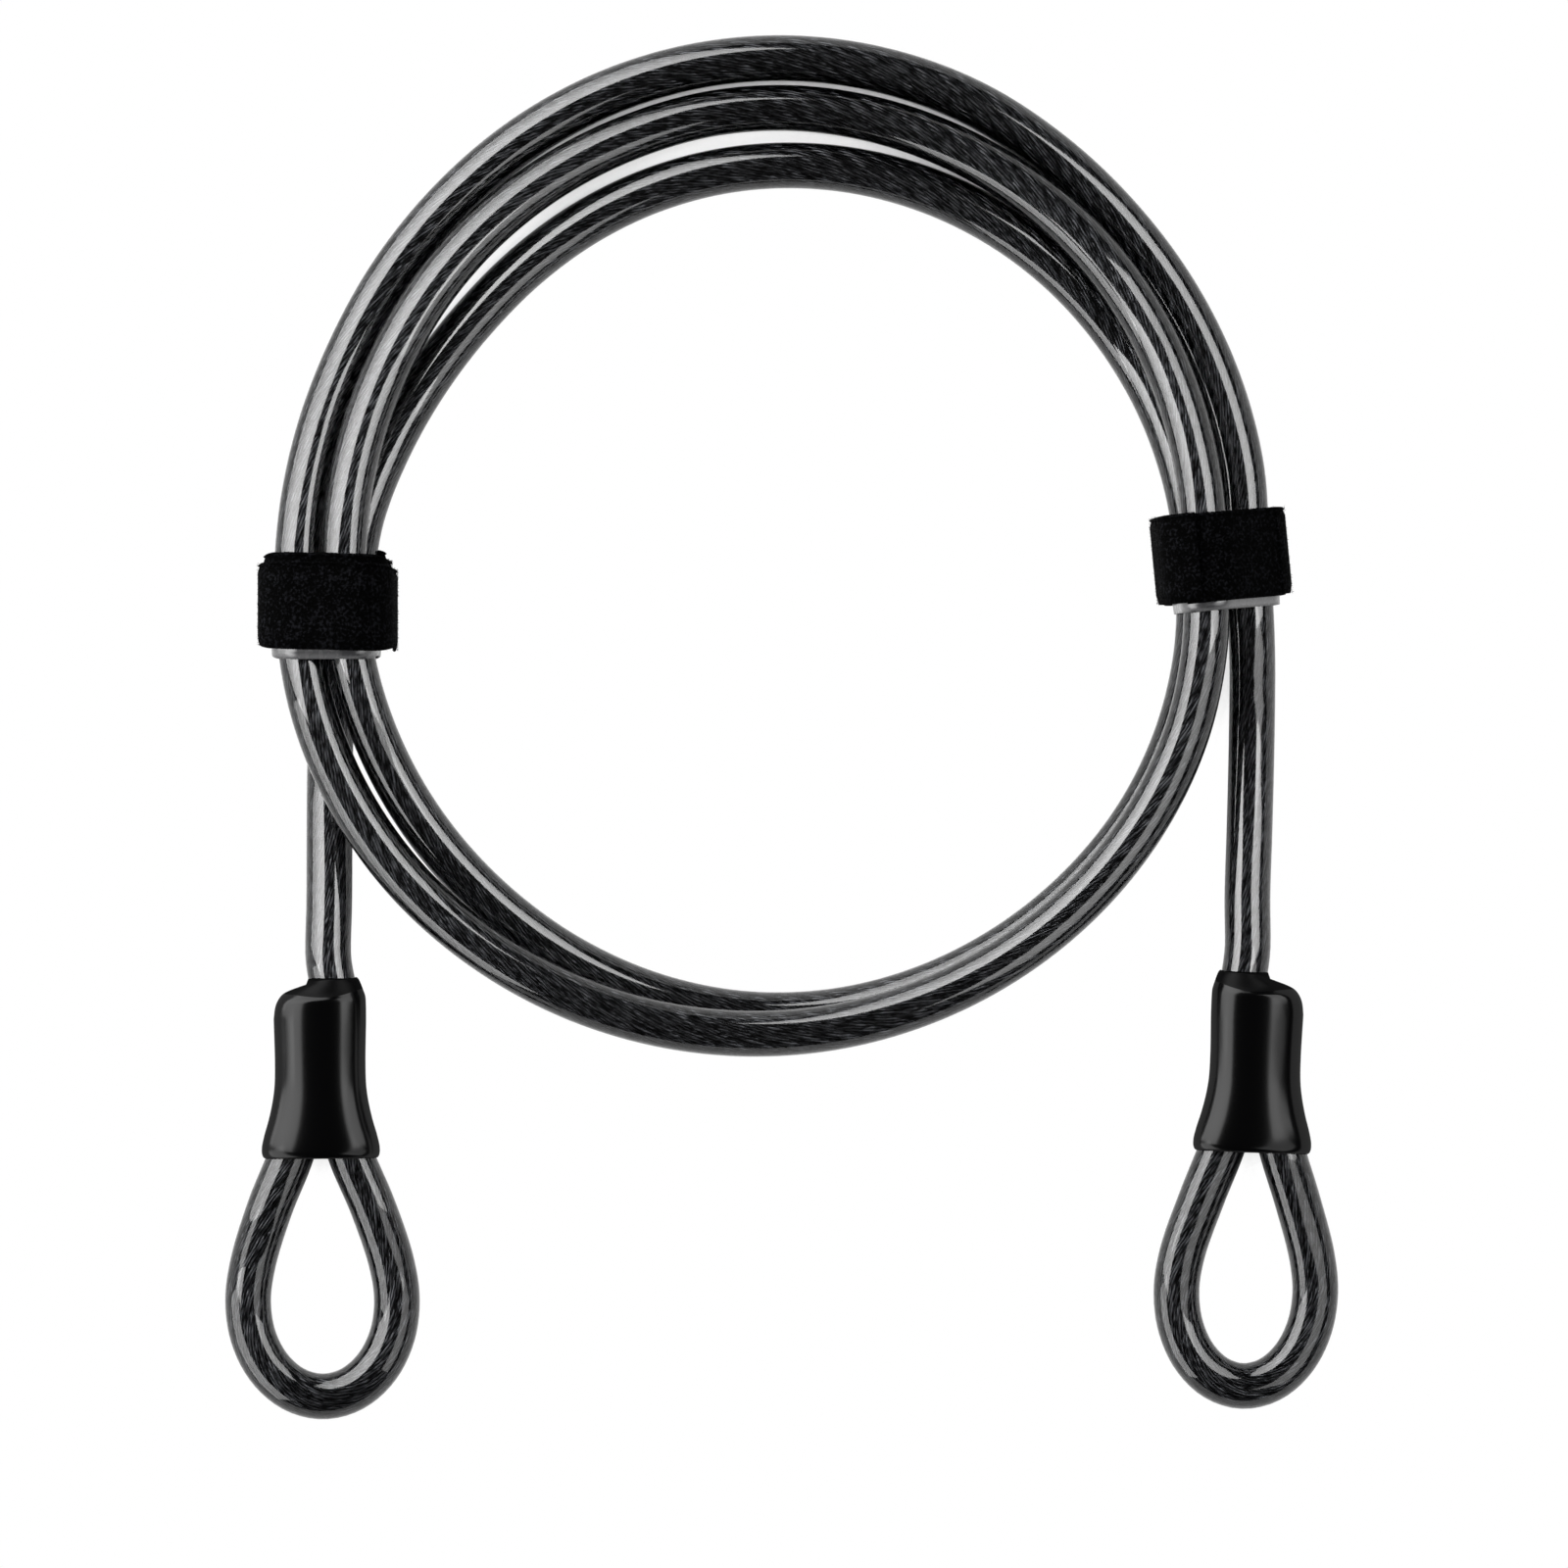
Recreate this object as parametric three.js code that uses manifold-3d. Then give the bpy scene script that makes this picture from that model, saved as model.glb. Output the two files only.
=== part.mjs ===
// A double-loop security cable: steel wire rope in a clear smoke jacket, coiled two and a half
// turns and tied by two hook-and-loop straps. Each end is folded into an eye, held by a crimped
// figure-eight ferrule and covered by a moulded bell-shaped sleeve.
//
// Millimetres, +Z up. The coil lies flat on the floor z = 0 and both eyes point towards -Y. All
// is placed from the coil's centre, and shifted in plan at the end.

import * as THREE from 'three';
import { mergeVertices } from 'three/addons/utils/BufferGeometryUtils.js';
import Module from 'manifold-3d';

// ---- Driving dimensions ------------------------------------------------------------------

// Cable
const cableDiameter = 10;
const jacketWall = 1.4;
const ropeGap = 0.3; // between the rope and the bore of its jacket
const restFlat = 1; // depth of the flat that the cable lies on
const turnGap = 0.6; // room left for each turn of the coil beside the next
const cutGap = 0.3; // between one stretch of the cable and the next

// Coil
const coilRadius = 93.6;
const leftStrapTurn = -0.0194;
const rightStrapTurn = 0.504;
const wholeTurns = 2; // the strand passes each strap this many times more

// Straps
const tapeWidth = 19;
const tapeThickness = 0.9;
const tapeGap = 0.3; // between two layers of tape
const bandWidth = 19;
const bandThickness = 0.3;
const bandShow = 2; // how far the band shows below the tape
const bandOpening = 3; // between the band's two ends, under the bundle
const strapClearance = 0.3; // between the cable and the band round it
const flapHingeGap = 0.3;

// Crimp ferrule
const ferruleLength = 17;
const ferruleWall = 1.2;
const ferruleWeb = 0.5; // between its two bores
const ferruleClearance = 0.2; // between the rope and its bore
const dieMarks = 3;
const dieMarkWidth = 2.4;
const dieMarkDepth = 0.35;
const dieMarkPitch = 4.6;

// Moulded sleeve
const sleeveLength = 39;
const sleeveWall = 1;
const mouthWall = 0.65;
const sleeveHalfWidth = 10.3;
const sleeveHalfThickness = 6.7;
const flareHalfWidth = 13.1;
const flareHalfThickness = 7.1;
const flareLength = 17;
const mouthLength = 3; // straight part at the mouth, below the flare
const rimRound = 0.6; // height of the chamfer round the mouth's outer edge
const rimLand = 0.35; // its width
const shoulderHeight = 4.5;
const collarWall = 0.7; // round the tail where it enters
const tailClearance = 0.3; // between the tail and its hole
const ferruleDepth = 8; // from the sleeve's top to the ferrule
const ropeStub = 1.2; // how far the rope's cut end stands out of the ferrule
const tailOffset = 1.85; // of the tail from the sleeve's middle, once it is clear of it
const tailSwing = 6; // how far above the sleeve the tail reaches that offset
const tailFall = 34; // length above the sleeve over which the tail comes down to the floor

// Eyes: half width of the cable's centreline, and its reach below the sleeve's top
const leftEye = { halfWidth: 16.2, reach: 91 };
const rightEye = { halfWidth: 15.1, reach: 90.1 };
const eyeRound = 20.5; // height of the eye's rounded end
const eyeMouth = 6.75; // half width of the centreline at the sleeve's mouth
const bareLegs = 10; // of rope below the ferrule, until the legs' jackets clear each other
const eyeFall = 28; // length over which the eye comes down to the floor


// ---- Sizes that follow -------------------------------------------------------------------

const cableRadius = cableDiameter / 2;
const boreRadius = cableRadius - jacketWall;
const ropeRadius = boreRadius - ropeGap;
const pitch = cableDiameter + turnGap;
const restHeight = cableRadius - restFlat;
const tapePitch = tapeThickness + tapeGap;
const bandOffset = cableRadius + strapClearance;
const tapeOffset = bandOffset + bandThickness + tapeGap;
const layersUnderBundle = 2.5;
const strapLift = tapeOffset + layersUnderBundle * tapePitch - restHeight;
const ferruleBore = ropeRadius + ferruleClearance;
const legOffset = ferruleBore + ferruleWeb / 2;
const sleeveHeight = flareHalfThickness;
const ferruleTop = -ferruleDepth;
const ferruleBottom = ferruleTop - ferruleLength;

// ---- Places beside the coil ----------------------------------------------------------------

const leftSide = -1;
const rightSide = 1;

/** A place in plan: pitches out from the coil's radius on one side, and radii up from its centre. */
function besideCoil(side, out, along) {
  return { x: side * (coilRadius + pitch * out), y: coilRadius * along };
}

// The middle of each sleeve's top, its lean in degrees, and 1 where the live leg is at +x
const leftTerminal = {
  ...besideCoil(leftSide, 0.453, -1.003), lean: 0.4, hand: 1, eye: leftEye,
};
const rightTerminal = {
  ...besideCoil(rightSide, 1.132, -0.989), lean: -2.2, hand: -1, eye: rightEye,
};

// The middle of each strap, its lean in degrees, how far its tape drifts down in a turn, and
// where round the bundle, in degrees, its free end starts and ends
const leftStrap = {
  name: 'left', ...besideCoil(leftSide, 0.293, -0.1325), lean: 0, drift: -1.5, root: 60, tip: -20,
};
const rightStrap = {
  name: 'right', ...besideCoil(rightSide, 0.491, -0.028), lean: 5.5, drift: 0.3, root: 170, tip: 96,
};

// ---- Solids from rings -------------------------------------------------------------------

/** Gives a geometry the faces of a list of rings, from each to the next, facing out. */
function ringSolid(rings, { closed = false } = {}) {
  const sides = rings[0].length;
  const faces = [];
  const steps = closed ? rings.length : rings.length - 1;
  for (let i = 0; i < steps; i += 1) {
    const [here, there] = [i * sides, ((i + 1) % rings.length) * sides];
    for (let j = 0; j < sides; j += 1) {
      const k = (j + 1) % sides;
      faces.push([here + j, here + k, there + k], [here + j, there + k, there + j]);
    }
  }
  if (!closed) {
    const end = (rings.length - 1) * sides;
    for (let j = 1; j < sides - 1; j += 1) {
      faces.push([0, j + 1, j], [end, end + j, end + j + 1]);
    }
  }
  const points = rings.flat();
  const volume = faces.reduce((sum, [a, b, c]) => (
    sum + points[a].dot(new THREE.Vector3().crossVectors(points[b], points[c]))), 0);
  const outward = volume > 0 ? faces : faces.map(([a, b, c]) => [a, c, b]);
  const geometry = new THREE.BufferGeometry().setFromPoints(points);
  geometry.setIndex(outward.flat());
  return geometry;
}

/** A smooth curve through points, with its length measured along it. */
class Route {
  constructor(points) {
    const curve = new THREE.CatmullRomCurve3(points, false, 'centripetal');
    this.points = curve.getPoints((points.length - 1) * Route.divisions);
    this.lengths = [0];
    for (let i = 1; i < this.points.length; i += 1) {
      this.lengths.push(this.lengths[i - 1] + this.points[i].distanceTo(this.points[i - 1]));
    }
    this.length = this.lengths[this.lengths.length - 1];
  }

  /** Length from the start to one of the points that the curve was given. */
  lengthTo(index) {
    return this.lengths[index * Route.divisions];
  }

  /** The point at a length along the curve, with the direction there. */
  at(length) {
    const found = this.lengths.findIndex((value) => value >= length);
    const next = Math.max(1, found < 0 ? this.points.length - 1 : found);
    const share = (length - this.lengths[next - 1])
      / (this.lengths[next] - this.lengths[next - 1]);
    const before = this.points[Math.max(next - 2, 0)];
    const after = this.points[Math.min(next + 1, this.points.length - 1)];
    return {
      point: this.points[next - 1].clone().lerp(this.points[next], share),
      direction: after.clone().sub(before).normalize(),
    };
  }

  /** Points and directions at even steps between two lengths. */
  between(from, to, steps) {
    return Array.from({ length: steps + 1 }, (_, i) => this.at(from + ((to - from) * i) / steps));
  }
}
Route.divisions = 16;

const cableSides = 10;
const up = new THREE.Vector3(0, 0, 1);

/** Rings of a round section along places on a route. Nothing reaches below the floor. */
function roundRings(places, radius, sides) {
  return places.map(({ point, direction }) => {
    const side = new THREE.Vector3().crossVectors(direction, up).normalize();
    const rise = new THREE.Vector3().crossVectors(side, direction);
    return Array.from({ length: sides }, (_, j) => {
      const angle = (2 * Math.PI * j) / sides;
      const corner = point.clone()
        .addScaledVector(side, radius * Math.cos(angle))
        .addScaledVector(rise, radius * Math.sin(angle));
      corner.z = Math.max(corner.z, 0);
      return corner;
    });
  });
}

/** The jacket round a stretch of rope: a tube with its bore, open at both ends. */
function jacketGeometry(places) {
  const outside = roundRings(places, cableRadius, cableSides);
  const bore = roundRings(places, boreRadius, cableSides);
  return ringSolid([...outside, ...bore.reverse()], { closed: true });
}

const ropeSides = 6;

function ropeGeometry(places) {
  return ringSolid(roundRings(places, ropeRadius, ropeSides));
}

// ---- The cable's route -------------------------------------------------------------------

// Distance of the strand from the coil's radius, in pitches, against eighths of a turn. The
// strand goes round clockwise from the left strap, and eighth 0 is the coil's leftmost point.
const eighths = 8;
const spread = [
  [-0.1552, -0.067], [0, -0.274], [0.5, -0.9], [1, -1.168], [2, -1.014], [3, -0.669],
  [4, -0.15], [4.5, 0.279], [5, 0.563], [6, 0.786], [7, 0.365],
  [8, -0.09], [8.5, -0.16], [9, -0.085], [9.5, 0.035], [10, 0.175], [11, 0.101],
  [12, -0.01], [12.5, 0.42], [13, 0.74], [14, 1.136], [15, 1.3], [15.5, 1.16],
  [16, 0.85], [16.5, 0.72], [17, 0.84], [17.5, 1.06], [18, 1.195], [18.5, 1.17],
  [19, 0.974], [20.032, 0.885],
];

// Height of the strand above the floor's layer, in pitches, against turns. It eases from one
// to the next: over the left tail, down at the top, over its first turn, and down again.
const layers = [
  [-0.02, 0], [0.76, 0], [0.955, 1], [1.04, 1], [1.25, 0], [1.26, 0], [1.44, 1.02],
  [1.9, 1.05], [2.14, 0], [2.505, 0],
];

// Places that the tails pass, from the sleeve to the strap: pitches out from the coil's radius,
// radii up from its centre, and the share of the strap's lift that they have reached.
const leftTail = [
  [0.264, -0.827, 0], [0.264, -0.677, 0], [0.255, -0.528, 0], [0.217, -0.389, 0.4],
  [0.113, -0.271, 1],
];
const rightTail = [
  [0.906, -0.816, 0], [0.953, -0.667, 0], [0.991, -0.506, 0], [1.009, -0.357, 0.2],
  [1, -0.261, 0.7], [0.962, -0.154, 1],
];

const strapPlateau = 0.028; // turns on each side of a strap that keep its full lift
const strapFade = 0.064; // turns over which the lift fades

function ease(share) {
  return (1 - Math.cos(Math.PI * Math.min(Math.max(share, 0), 1))) / 2;
}

/** The value at x of a list of [x, value], easing from each to the next. */
function easedValue(stations, x) {
  const next = Math.max(1, stations.findIndex(([place]) => place >= x));
  const [[x0, v0], [x1, v1]] = [stations[next - 1], stations[next]];
  return v0 + (v1 - v0) * ease((x - x0) / (x1 - x0));
}

/** The value at x of a smooth curve through a list of [x, value]. */
function smoothValue(stations, x) {
  const last = stations.length - 1;
  const next = Math.max(1, stations.findIndex(([place]) => place >= x));
  const slope = (i) => {
    const [before, after] = [stations[Math.max(i - 1, 0)], stations[Math.min(i + 1, last)]];
    return (after[1] - before[1]) / (after[0] - before[0]);
  };
  const [[x0, v0], [x1, v1]] = [stations[next - 1], stations[next]];
  const span = x1 - x0;
  const u = Math.min(Math.max((x - x0) / span, 0), 1);
  return v0 + (v1 - v0) * u * u * (3 - 2 * u)
    + span * (slope(next - 1) * u * (1 - u) ** 2 - slope(next) * u * u * (1 - u));
}

/** Share of the strap's lift at a place on the coil, in turns. */
function liftShare(turn) {
  const away = [leftStrapTurn, rightStrapTurn].map((place) => {
    const turns = turn - place;
    return Math.abs(turns - Math.round(turns));
  });
  return 1 - ease((Math.min(...away) - strapPlateau) / strapFade);
}

/** The cable's centre at a place on the coil, in turns from its leftmost point. */
function coilPoint(turn) {
  const angle = Math.PI * (1 - 2 * turn);
  const radius = coilRadius + pitch * smoothValue(spread, turn * eighths);
  return new THREE.Vector3(
    radius * Math.cos(angle),
    radius * Math.sin(angle),
    restHeight + pitch * easedValue(layers, turn) + strapLift * liftShare(turn),
  );
}

/** A point in a terminal's own plan, with the live leg at +x, as a point of the model. */
function terminalPoint(terminal, x, y, z) {
  return new THREE.Vector3(x * terminal.hand, y, z)
    .applyAxisAngle(up, THREE.MathUtils.degToRad(terminal.lean))
    .add(new THREE.Vector3(terminal.x, terminal.y, 0));
}

/** Distance of the tail's centre from the sleeve's middle at y, as it leaves the ferrule. */
function tailAcross(y) {
  return tailOffset
    + (legOffset - tailOffset) * ease((tailSwing - y) / (tailSwing + ferruleDepth));
}

/** A tail's points: from the ferrule, through the sleeve's collar, to where its strap begins. */
function tailPoints(terminal, side, places) {
  const heightAt = (y) => restHeight + (sleeveHeight - restHeight) * ease(1 - y / tailFall);
  const steps = 5;
  const swing = Array.from({ length: steps + 1 }, (_, i) => {
    const y = ferruleTop + ((tailSwing + ferruleDepth) * i) / steps;
    return terminalPoint(terminal, tailAcross(y), y, heightAt(y));
  });
  return swing.concat(places.map(([out, along, share]) => {
    const { x, y } = besideCoil(side, out, along);
    return new THREE.Vector3(x, y, heightAt(y - terminal.y) + strapLift * share);
  }));
}

const samplesPerTurn = 32;

/** The whole route between the two ferrules, and the lengths where the coil starts and ends. */
function cableRoute() {
  const turns = wholeTurns + rightStrapTurn - leftStrapTurn;
  const samples = Math.round(turns * samplesPerTurn);
  const coil = Array.from({ length: samples + 1 }, (_, i) => (
    coilPoint(leftStrapTurn + (turns * i) / samples)));
  const start = tailPoints(leftTerminal, leftSide, leftTail);
  const end = tailPoints(rightTerminal, rightSide, rightTail).reverse();
  const route = new Route([...start, ...coil, ...end]);
  return {
    route,
    coilStart: route.lengthTo(start.length),
    coilEnd: route.lengthTo(start.length + samples),
  };
}

/** The least space between parts of a round cable that lie further apart along it. */
function leastGap(route, from, to) {
  const spacing = 2;
  const places = route.between(from, to, Math.round((to - from) / spacing));
  const apart = Math.ceil((3 * cableDiameter) / spacing);
  let least = Infinity;
  for (let i = 0; i < places.length; i += 1) {
    for (let j = i + apart; j < places.length; j += 1) {
      least = Math.min(least, places[i].point.distanceTo(places[j].point));
    }
  }
  return least - cableDiameter;
}

/** The rope's route in an eye: up the dead leg's ferrule, round the eye and back up. */
function eyeRoute({ hand, eye }) {
  const widest = -(eye.reach - eyeRound);
  const belowMouth = (share) => -sleeveLength + share * (widest + sleeveLength);
  const leg = [
    [legOffset, ferruleTop], [legOffset, (ferruleTop + ferruleBottom) / 2],
    [legOffset, ferruleBottom], [legOffset + 0.9, ferruleBottom - bareLegs * 0.7],
    [eyeMouth, -sleeveLength], [eye.halfWidth * 0.69, belowMouth(0.34)],
    [eye.halfWidth * 0.936, belowMouth(0.74)], [eye.halfWidth, widest],
  ];
  const roundSteps = 4;
  for (let i = 1; i < roundSteps; i += 1) {
    const angle = (Math.PI / 2) * (i / roundSteps);
    leg.push([eye.halfWidth * Math.cos(angle), widest - eyeRound * Math.sin(angle)]);
  }
  const dead = leg.map(([x, y]) => [-x, y]);
  dead[0][1] += ropeStub;
  const outline = [...dead, [0, -eye.reach], ...leg.reverse()];
  return new Route(outline.map(([x, y]) => new THREE.Vector3(
    x * hand,
    y,
    sleeveHeight + (restHeight - sleeveHeight) * ease((-sleeveLength - y) / eyeFall),
  )));
}

// ---- Terminals: ferrule and sleeve -------------------------------------------------------

const wasm = await Module();
wasm.setup();

/** A closed geometry as a solid that can be joined and cut. */
function toSolid(geometry) {
  const bare = geometry.clone();
  bare.deleteAttribute('normal');
  bare.deleteAttribute('uv');
  const merged = mergeVertices(bare, 1e-4);
  return new wasm.Manifold(new wasm.Mesh({
    numProp: 3,
    vertProperties: new Float32Array(merged.attributes.position.array),
    triVerts: new Uint32Array(merged.index.array),
  }));
}

function toGeometry(solid) {
  const mesh = solid.getMesh();
  const geometry = new THREE.BufferGeometry();
  geometry.setAttribute('position', new THREE.BufferAttribute(mesh.vertProperties, 3));
  geometry.setIndex(new THREE.BufferAttribute(mesh.triVerts, 1));
  return geometry;
}

/** Figure-eight crimp with a bore for each leg, pressed by three pairs of die marks. */
function ferruleGeometry() {
  const outer = ferruleBore + ferruleWall;
  const waist = Math.PI / 5; // where each lobe meets the flat between the lobes
  const outline = new THREE.Shape();
  outline.absarc(legOffset, 0, outer, -Math.PI + waist * 2, Math.PI - waist * 2, false);
  outline.absarc(-legOffset, 0, outer, waist * 2, 2 * Math.PI - waist * 2, false);
  for (const side of [-1, 1]) {
    const bore = new THREE.Path();
    bore.absarc(side * legOffset, 0, ferruleBore, 0, 2 * Math.PI, true);
    outline.holes.push(bore);
  }
  const body = new THREE.ExtrudeGeometry(outline, {
    depth: ferruleLength, bevelEnabled: false, curveSegments: 8,
  });
  body.rotateX(Math.PI / 2).translate(0, ferruleTop, sleeveHeight);
  let solid = toSolid(body);
  const middle = (ferruleTop + ferruleBottom) / 2;
  for (let i = 0; i < dieMarks; i += 1) {
    for (const face of [-1, 1]) {
      const die = new THREE.BoxGeometry(4 * outer, dieMarkWidth, 2 * dieMarkDepth);
      die.translate(0, middle + (i - (dieMarks - 1) / 2) * dieMarkPitch,
        sleeveHeight + face * outer);
      solid = solid.subtract(toSolid(die));
    }
  }
  return toGeometry(solid);
}

const sleeveSides = 24;
const flareSteps = 6;
const shoulderSteps = 5;
const outerSquareness = 2.5; // of the section: 2 is an ellipse, and higher is squarer
const innerSquareness = 2.8;

/** A rounded oblong ring in the sleeve's cross-section. */
function sleeveRing(y, halfWidth, halfThickness, offset, squareness) {
  const bend = (value) => Math.sign(value) * Math.abs(value) ** (2 / squareness);
  return Array.from({ length: sleeveSides }, (_, j) => {
    const angle = (2 * Math.PI * j) / sleeveSides;
    return new THREE.Vector3(
      offset + halfWidth * bend(Math.cos(angle)),
      y,
      sleeveHeight + halfThickness * bend(Math.sin(angle)),
    );
  });
}

/** Half width, half thickness and wall of the sleeve at y, from its waist to its mouth. */
function sleeveSize(y) {
  const full = mouthLength - sleeveLength;
  const share = ease((full + flareLength - y) / flareLength) ** 1.25;
  const between = (waist, mouth) => waist + (mouth - waist) * share;
  return {
    width: between(sleeveHalfWidth, flareHalfWidth),
    thickness: between(sleeveHalfThickness, flareHalfThickness),
    wall: between(sleeveWall, mouthWall),
  };
}

/** Bell-shaped moulded cover: flared mouth, straight waist, and a shoulder round the tail. */
function sleeveGeometry({ hand }) {
  const holeOffset = hand * tailAcross(-sleeveWall / 2);
  const ringAt = (y, walls, squareness) => {
    const { width, thickness, wall } = sleeveSize(y);
    return sleeveRing(y, width - walls * wall, thickness - walls * wall, 0, squareness);
  };
  const skin = (walls, collarRadius, bottom, top, squareness) => {
    const rings = [ringAt(bottom, walls, squareness)];
    for (let i = 0; i <= flareSteps; i += 1) {
      const y = mouthLength - sleeveLength + (flareLength * i) / flareSteps;
      rings.push(ringAt(y, walls, squareness));
    }
    const shoulder = ringAt(0, walls, squareness);
    const collar = sleeveRing(0, collarRadius, collarRadius, holeOffset, 2);
    for (let i = 0; i <= shoulderSteps; i += 1) {
      const angle = (Math.PI / 2) * (i / shoulderSteps);
      const y = top - shoulderHeight * (1 - Math.sin(angle));
      rings.push(shoulder.map((point, j) => (
        point.clone().lerp(collar[j], 1 - Math.cos(angle)).setY(y))));
    }
    return rings;
  };
  const holeRadius = cableRadius + tailClearance;
  const outside = skin(0, holeRadius + collarWall, rimRound - sleeveLength, 0, outerSquareness);
  const inside = skin(1, holeRadius, -sleeveLength, -sleeveWall, innerSquareness);
  const { width, thickness } = sleeveSize(-sleeveLength);
  const rim = sleeveRing(-sleeveLength, width - rimLand, thickness - rimLand, 0,
    outerSquareness);
  const hole = sleeveRing(0, holeRadius, holeRadius, holeOffset, 2);
  return ringSolid([rim, ...outside, hole, ...inside.reverse()], { closed: true });
}

// ---- Straps ------------------------------------------------------------------------------

const tapeTurns = 2.05; // from the tape's inner end to the tip of its free end
const bundleReach = 30; // the strand is in the bundle this near the strap's middle

/** How far the band's middle lies below the strap's. */
function bandDrop({ drift }) {
  return bandShow + Math.abs(drift) / 2;
}

/** Centres of the cable where it passes through a strap, in the strap's own frame. */
function bundleCentres(strap, route) {
  const toStrap = (point) => point.clone().sub(new THREE.Vector3(strap.x, strap.y, 0))
    .applyAxisAngle(up, -THREE.MathUtils.degToRad(strap.lean));
  const points = route.points.map(toStrap);
  const centres = [];
  const low = bandWidth / 2 + bandDrop(strap);
  for (const level of [-low, 0, low]) {
    for (let i = 1; i < points.length; i += 1) {
      const [before, after] = [points[i - 1], points[i]];
      const crosses = (before.y - level) * (after.y - level) <= 0 && before.y !== after.y;
      if (crosses && Math.abs(after.x) < bundleReach) {
        const place = before.clone().lerp(after, (level - before.y) / (after.y - before.y));
        centres.push(new THREE.Vector2(place.x, place.z));
      }
    }
  }
  return centres;
}

/** The corners of the tightest loop round points, clockwise. */
function hullOf(points) {
  const sorted = [...points].sort((a, b) => a.x - b.x || a.y - b.y);
  const half = (list) => list.reduce((chain, point) => {
    while (chain.length > 1) {
      const [a, b] = chain.slice(-2);
      const turn = (b.x - a.x) * (point.y - a.y) - (b.y - a.y) * (point.x - a.x);
      if (turn < 0) break;
      chain.pop();
    }
    return [...chain, point];
  }, []);
  const [top, bottom] = [half(sorted), half(sorted.reverse())];
  return [...top.slice(0, -1), ...bottom.slice(0, -1)];
}

const fullTurn = 2 * Math.PI;
const arcStep = fullTurn / 20;

/**
 * Places along a taut loop round a bundle, clockwise between two angles of its normal. Each
 * holds its corner of the hull, its angle and the length wound since the start.
 */
function windRound(hull, from, to) {
  const places = [];
  const count = hull.length;
  const normals = hull.map((corner, i) => {
    const next = hull[(i + 1) % count];
    return Math.atan2(next.x - corner.x, corner.y - next.y);
  }); // of the side that leaves each corner
  const cornerAt = (angle) => {
    let best = 0;
    const reach = (corner) => corner.x * Math.cos(angle) + corner.y * Math.sin(angle);
    hull.forEach((corner, i) => { if (reach(corner) > reach(hull[best])) best = i; });
    return hull[best];
  };
  const marks = [{ angle: from }, { angle: to }];
  for (let k = Math.ceil(to / arcStep); k * arcStep < from; k += 1) {
    if (k * arcStep > to) marks.push({ angle: k * arcStep });
  }
  normals.forEach((normal, i) => {
    for (let angle = normal + 8 * fullTurn; angle > to; angle -= fullTurn) {
      if (angle < from) {
        marks.push({ angle: angle + 1e-6, corner: hull[i] });
        marks.push({ angle: angle - 1e-6, corner: hull[(i + 1) % count] });
      }
    }
  });
  marks.sort((a, b) => b.angle - a.angle);
  let wound = 0;
  for (const { angle, corner = cornerAt(angle) } of marks) {
    const out = new THREE.Vector2(Math.cos(angle), Math.sin(angle));
    const base = corner.clone().addScaledVector(out, tapeOffset);
    const last = places[places.length - 1];
    const step = last ? base.distanceTo(last.base) : 0;
    wound += step;
    if (!last || step > 0.05) places.push({ corner, out, base, wound, angle });
  }
  return places;
}

/** Flat tape between two offsets from the cable's centres, from one place to the next. */
function tapeGeometry(places, { thickness, width, offsetAt, shiftAt }) {
  return ringSolid(places.map((place) => {
    const [offset, shift] = [offsetAt(place), shiftAt(place)];
    const corner = (distance, y) => {
      const point = place.corner.clone().addScaledVector(place.out, distance);
      return new THREE.Vector3(point.x, shift + y, point.y);
    };
    return [
      corner(offset, -width / 2), corner(offset + thickness, -width / 2),
      corner(offset + thickness, width / 2), corner(offset, width / 2),
    ];
  }));
}

/** The base band, the wound tape and the free end of a strap, with the free end's hinge. */
function strapPieces(strap, route) {
  const hull = hullOf(bundleCentres(strap, route));
  const loop = windRound(hull, 0, -fullTurn);
  const perimeter = loop[loop.length - 1].wound;
  const tip = THREE.MathUtils.degToRad(strap.tip);
  const root = THREE.MathUtils.degToRad(strap.root);
  const start = tip + 2 * fullTurn;
  const extra = (tapeTurns - 2) * perimeter;
  const startPlaces = windRound(hull, start + fullTurn, start);
  const early = startPlaces.filter(({ wound }) => (
    startPlaces[startPlaces.length - 1].wound - wound < extra));
  const begin = early[0].angle;
  const turnsAt = ({ wound }) => wound / perimeter;
  const spiral = {
    thickness: tapeThickness,
    width: tapeWidth,
    offsetAt: (place) => tapeOffset + tapePitch * turnsAt(place),
    shiftAt: (place) => strap.drift * (turnsAt(place) - tapeTurns / 2),
  };
  const tape = windRound(hull, begin, root);
  const length = tape[tape.length - 1].wound;
  const outside = spiral.offsetAt(tape[tape.length - 1]) + tapeThickness;
  const gapAngle = flapHingeGap / outside;
  const flap = windRound(hull, root - gapAngle, tip)
    .map((place) => ({ ...place, wound: place.wound + length + flapHingeGap }));
  const bandFrom = -Math.PI / 2 - bandOpening / 2 / bandOffset;
  const band = windRound(hull, bandFrom, -Math.PI / 2 - fullTurn + bandOpening / 2 / bandOffset);
  const hingeOut = new THREE.Vector2(Math.cos(root - gapAngle / 2), Math.sin(root - gapAngle / 2));
  const hinge = tape[tape.length - 1].corner.clone().addScaledVector(hingeOut, outside);
  return {
    band: tapeGeometry(band, {
      thickness: bandThickness,
      width: bandWidth,
      offsetAt: () => bandOffset,
      shiftAt: () => -bandDrop(strap),
    }),
    tape: tapeGeometry(tape, spiral),
    free_end: tapeGeometry(flap, spiral),
    hinge,
  };
}

// ---- The model ---------------------------------------------------------------------------

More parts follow.
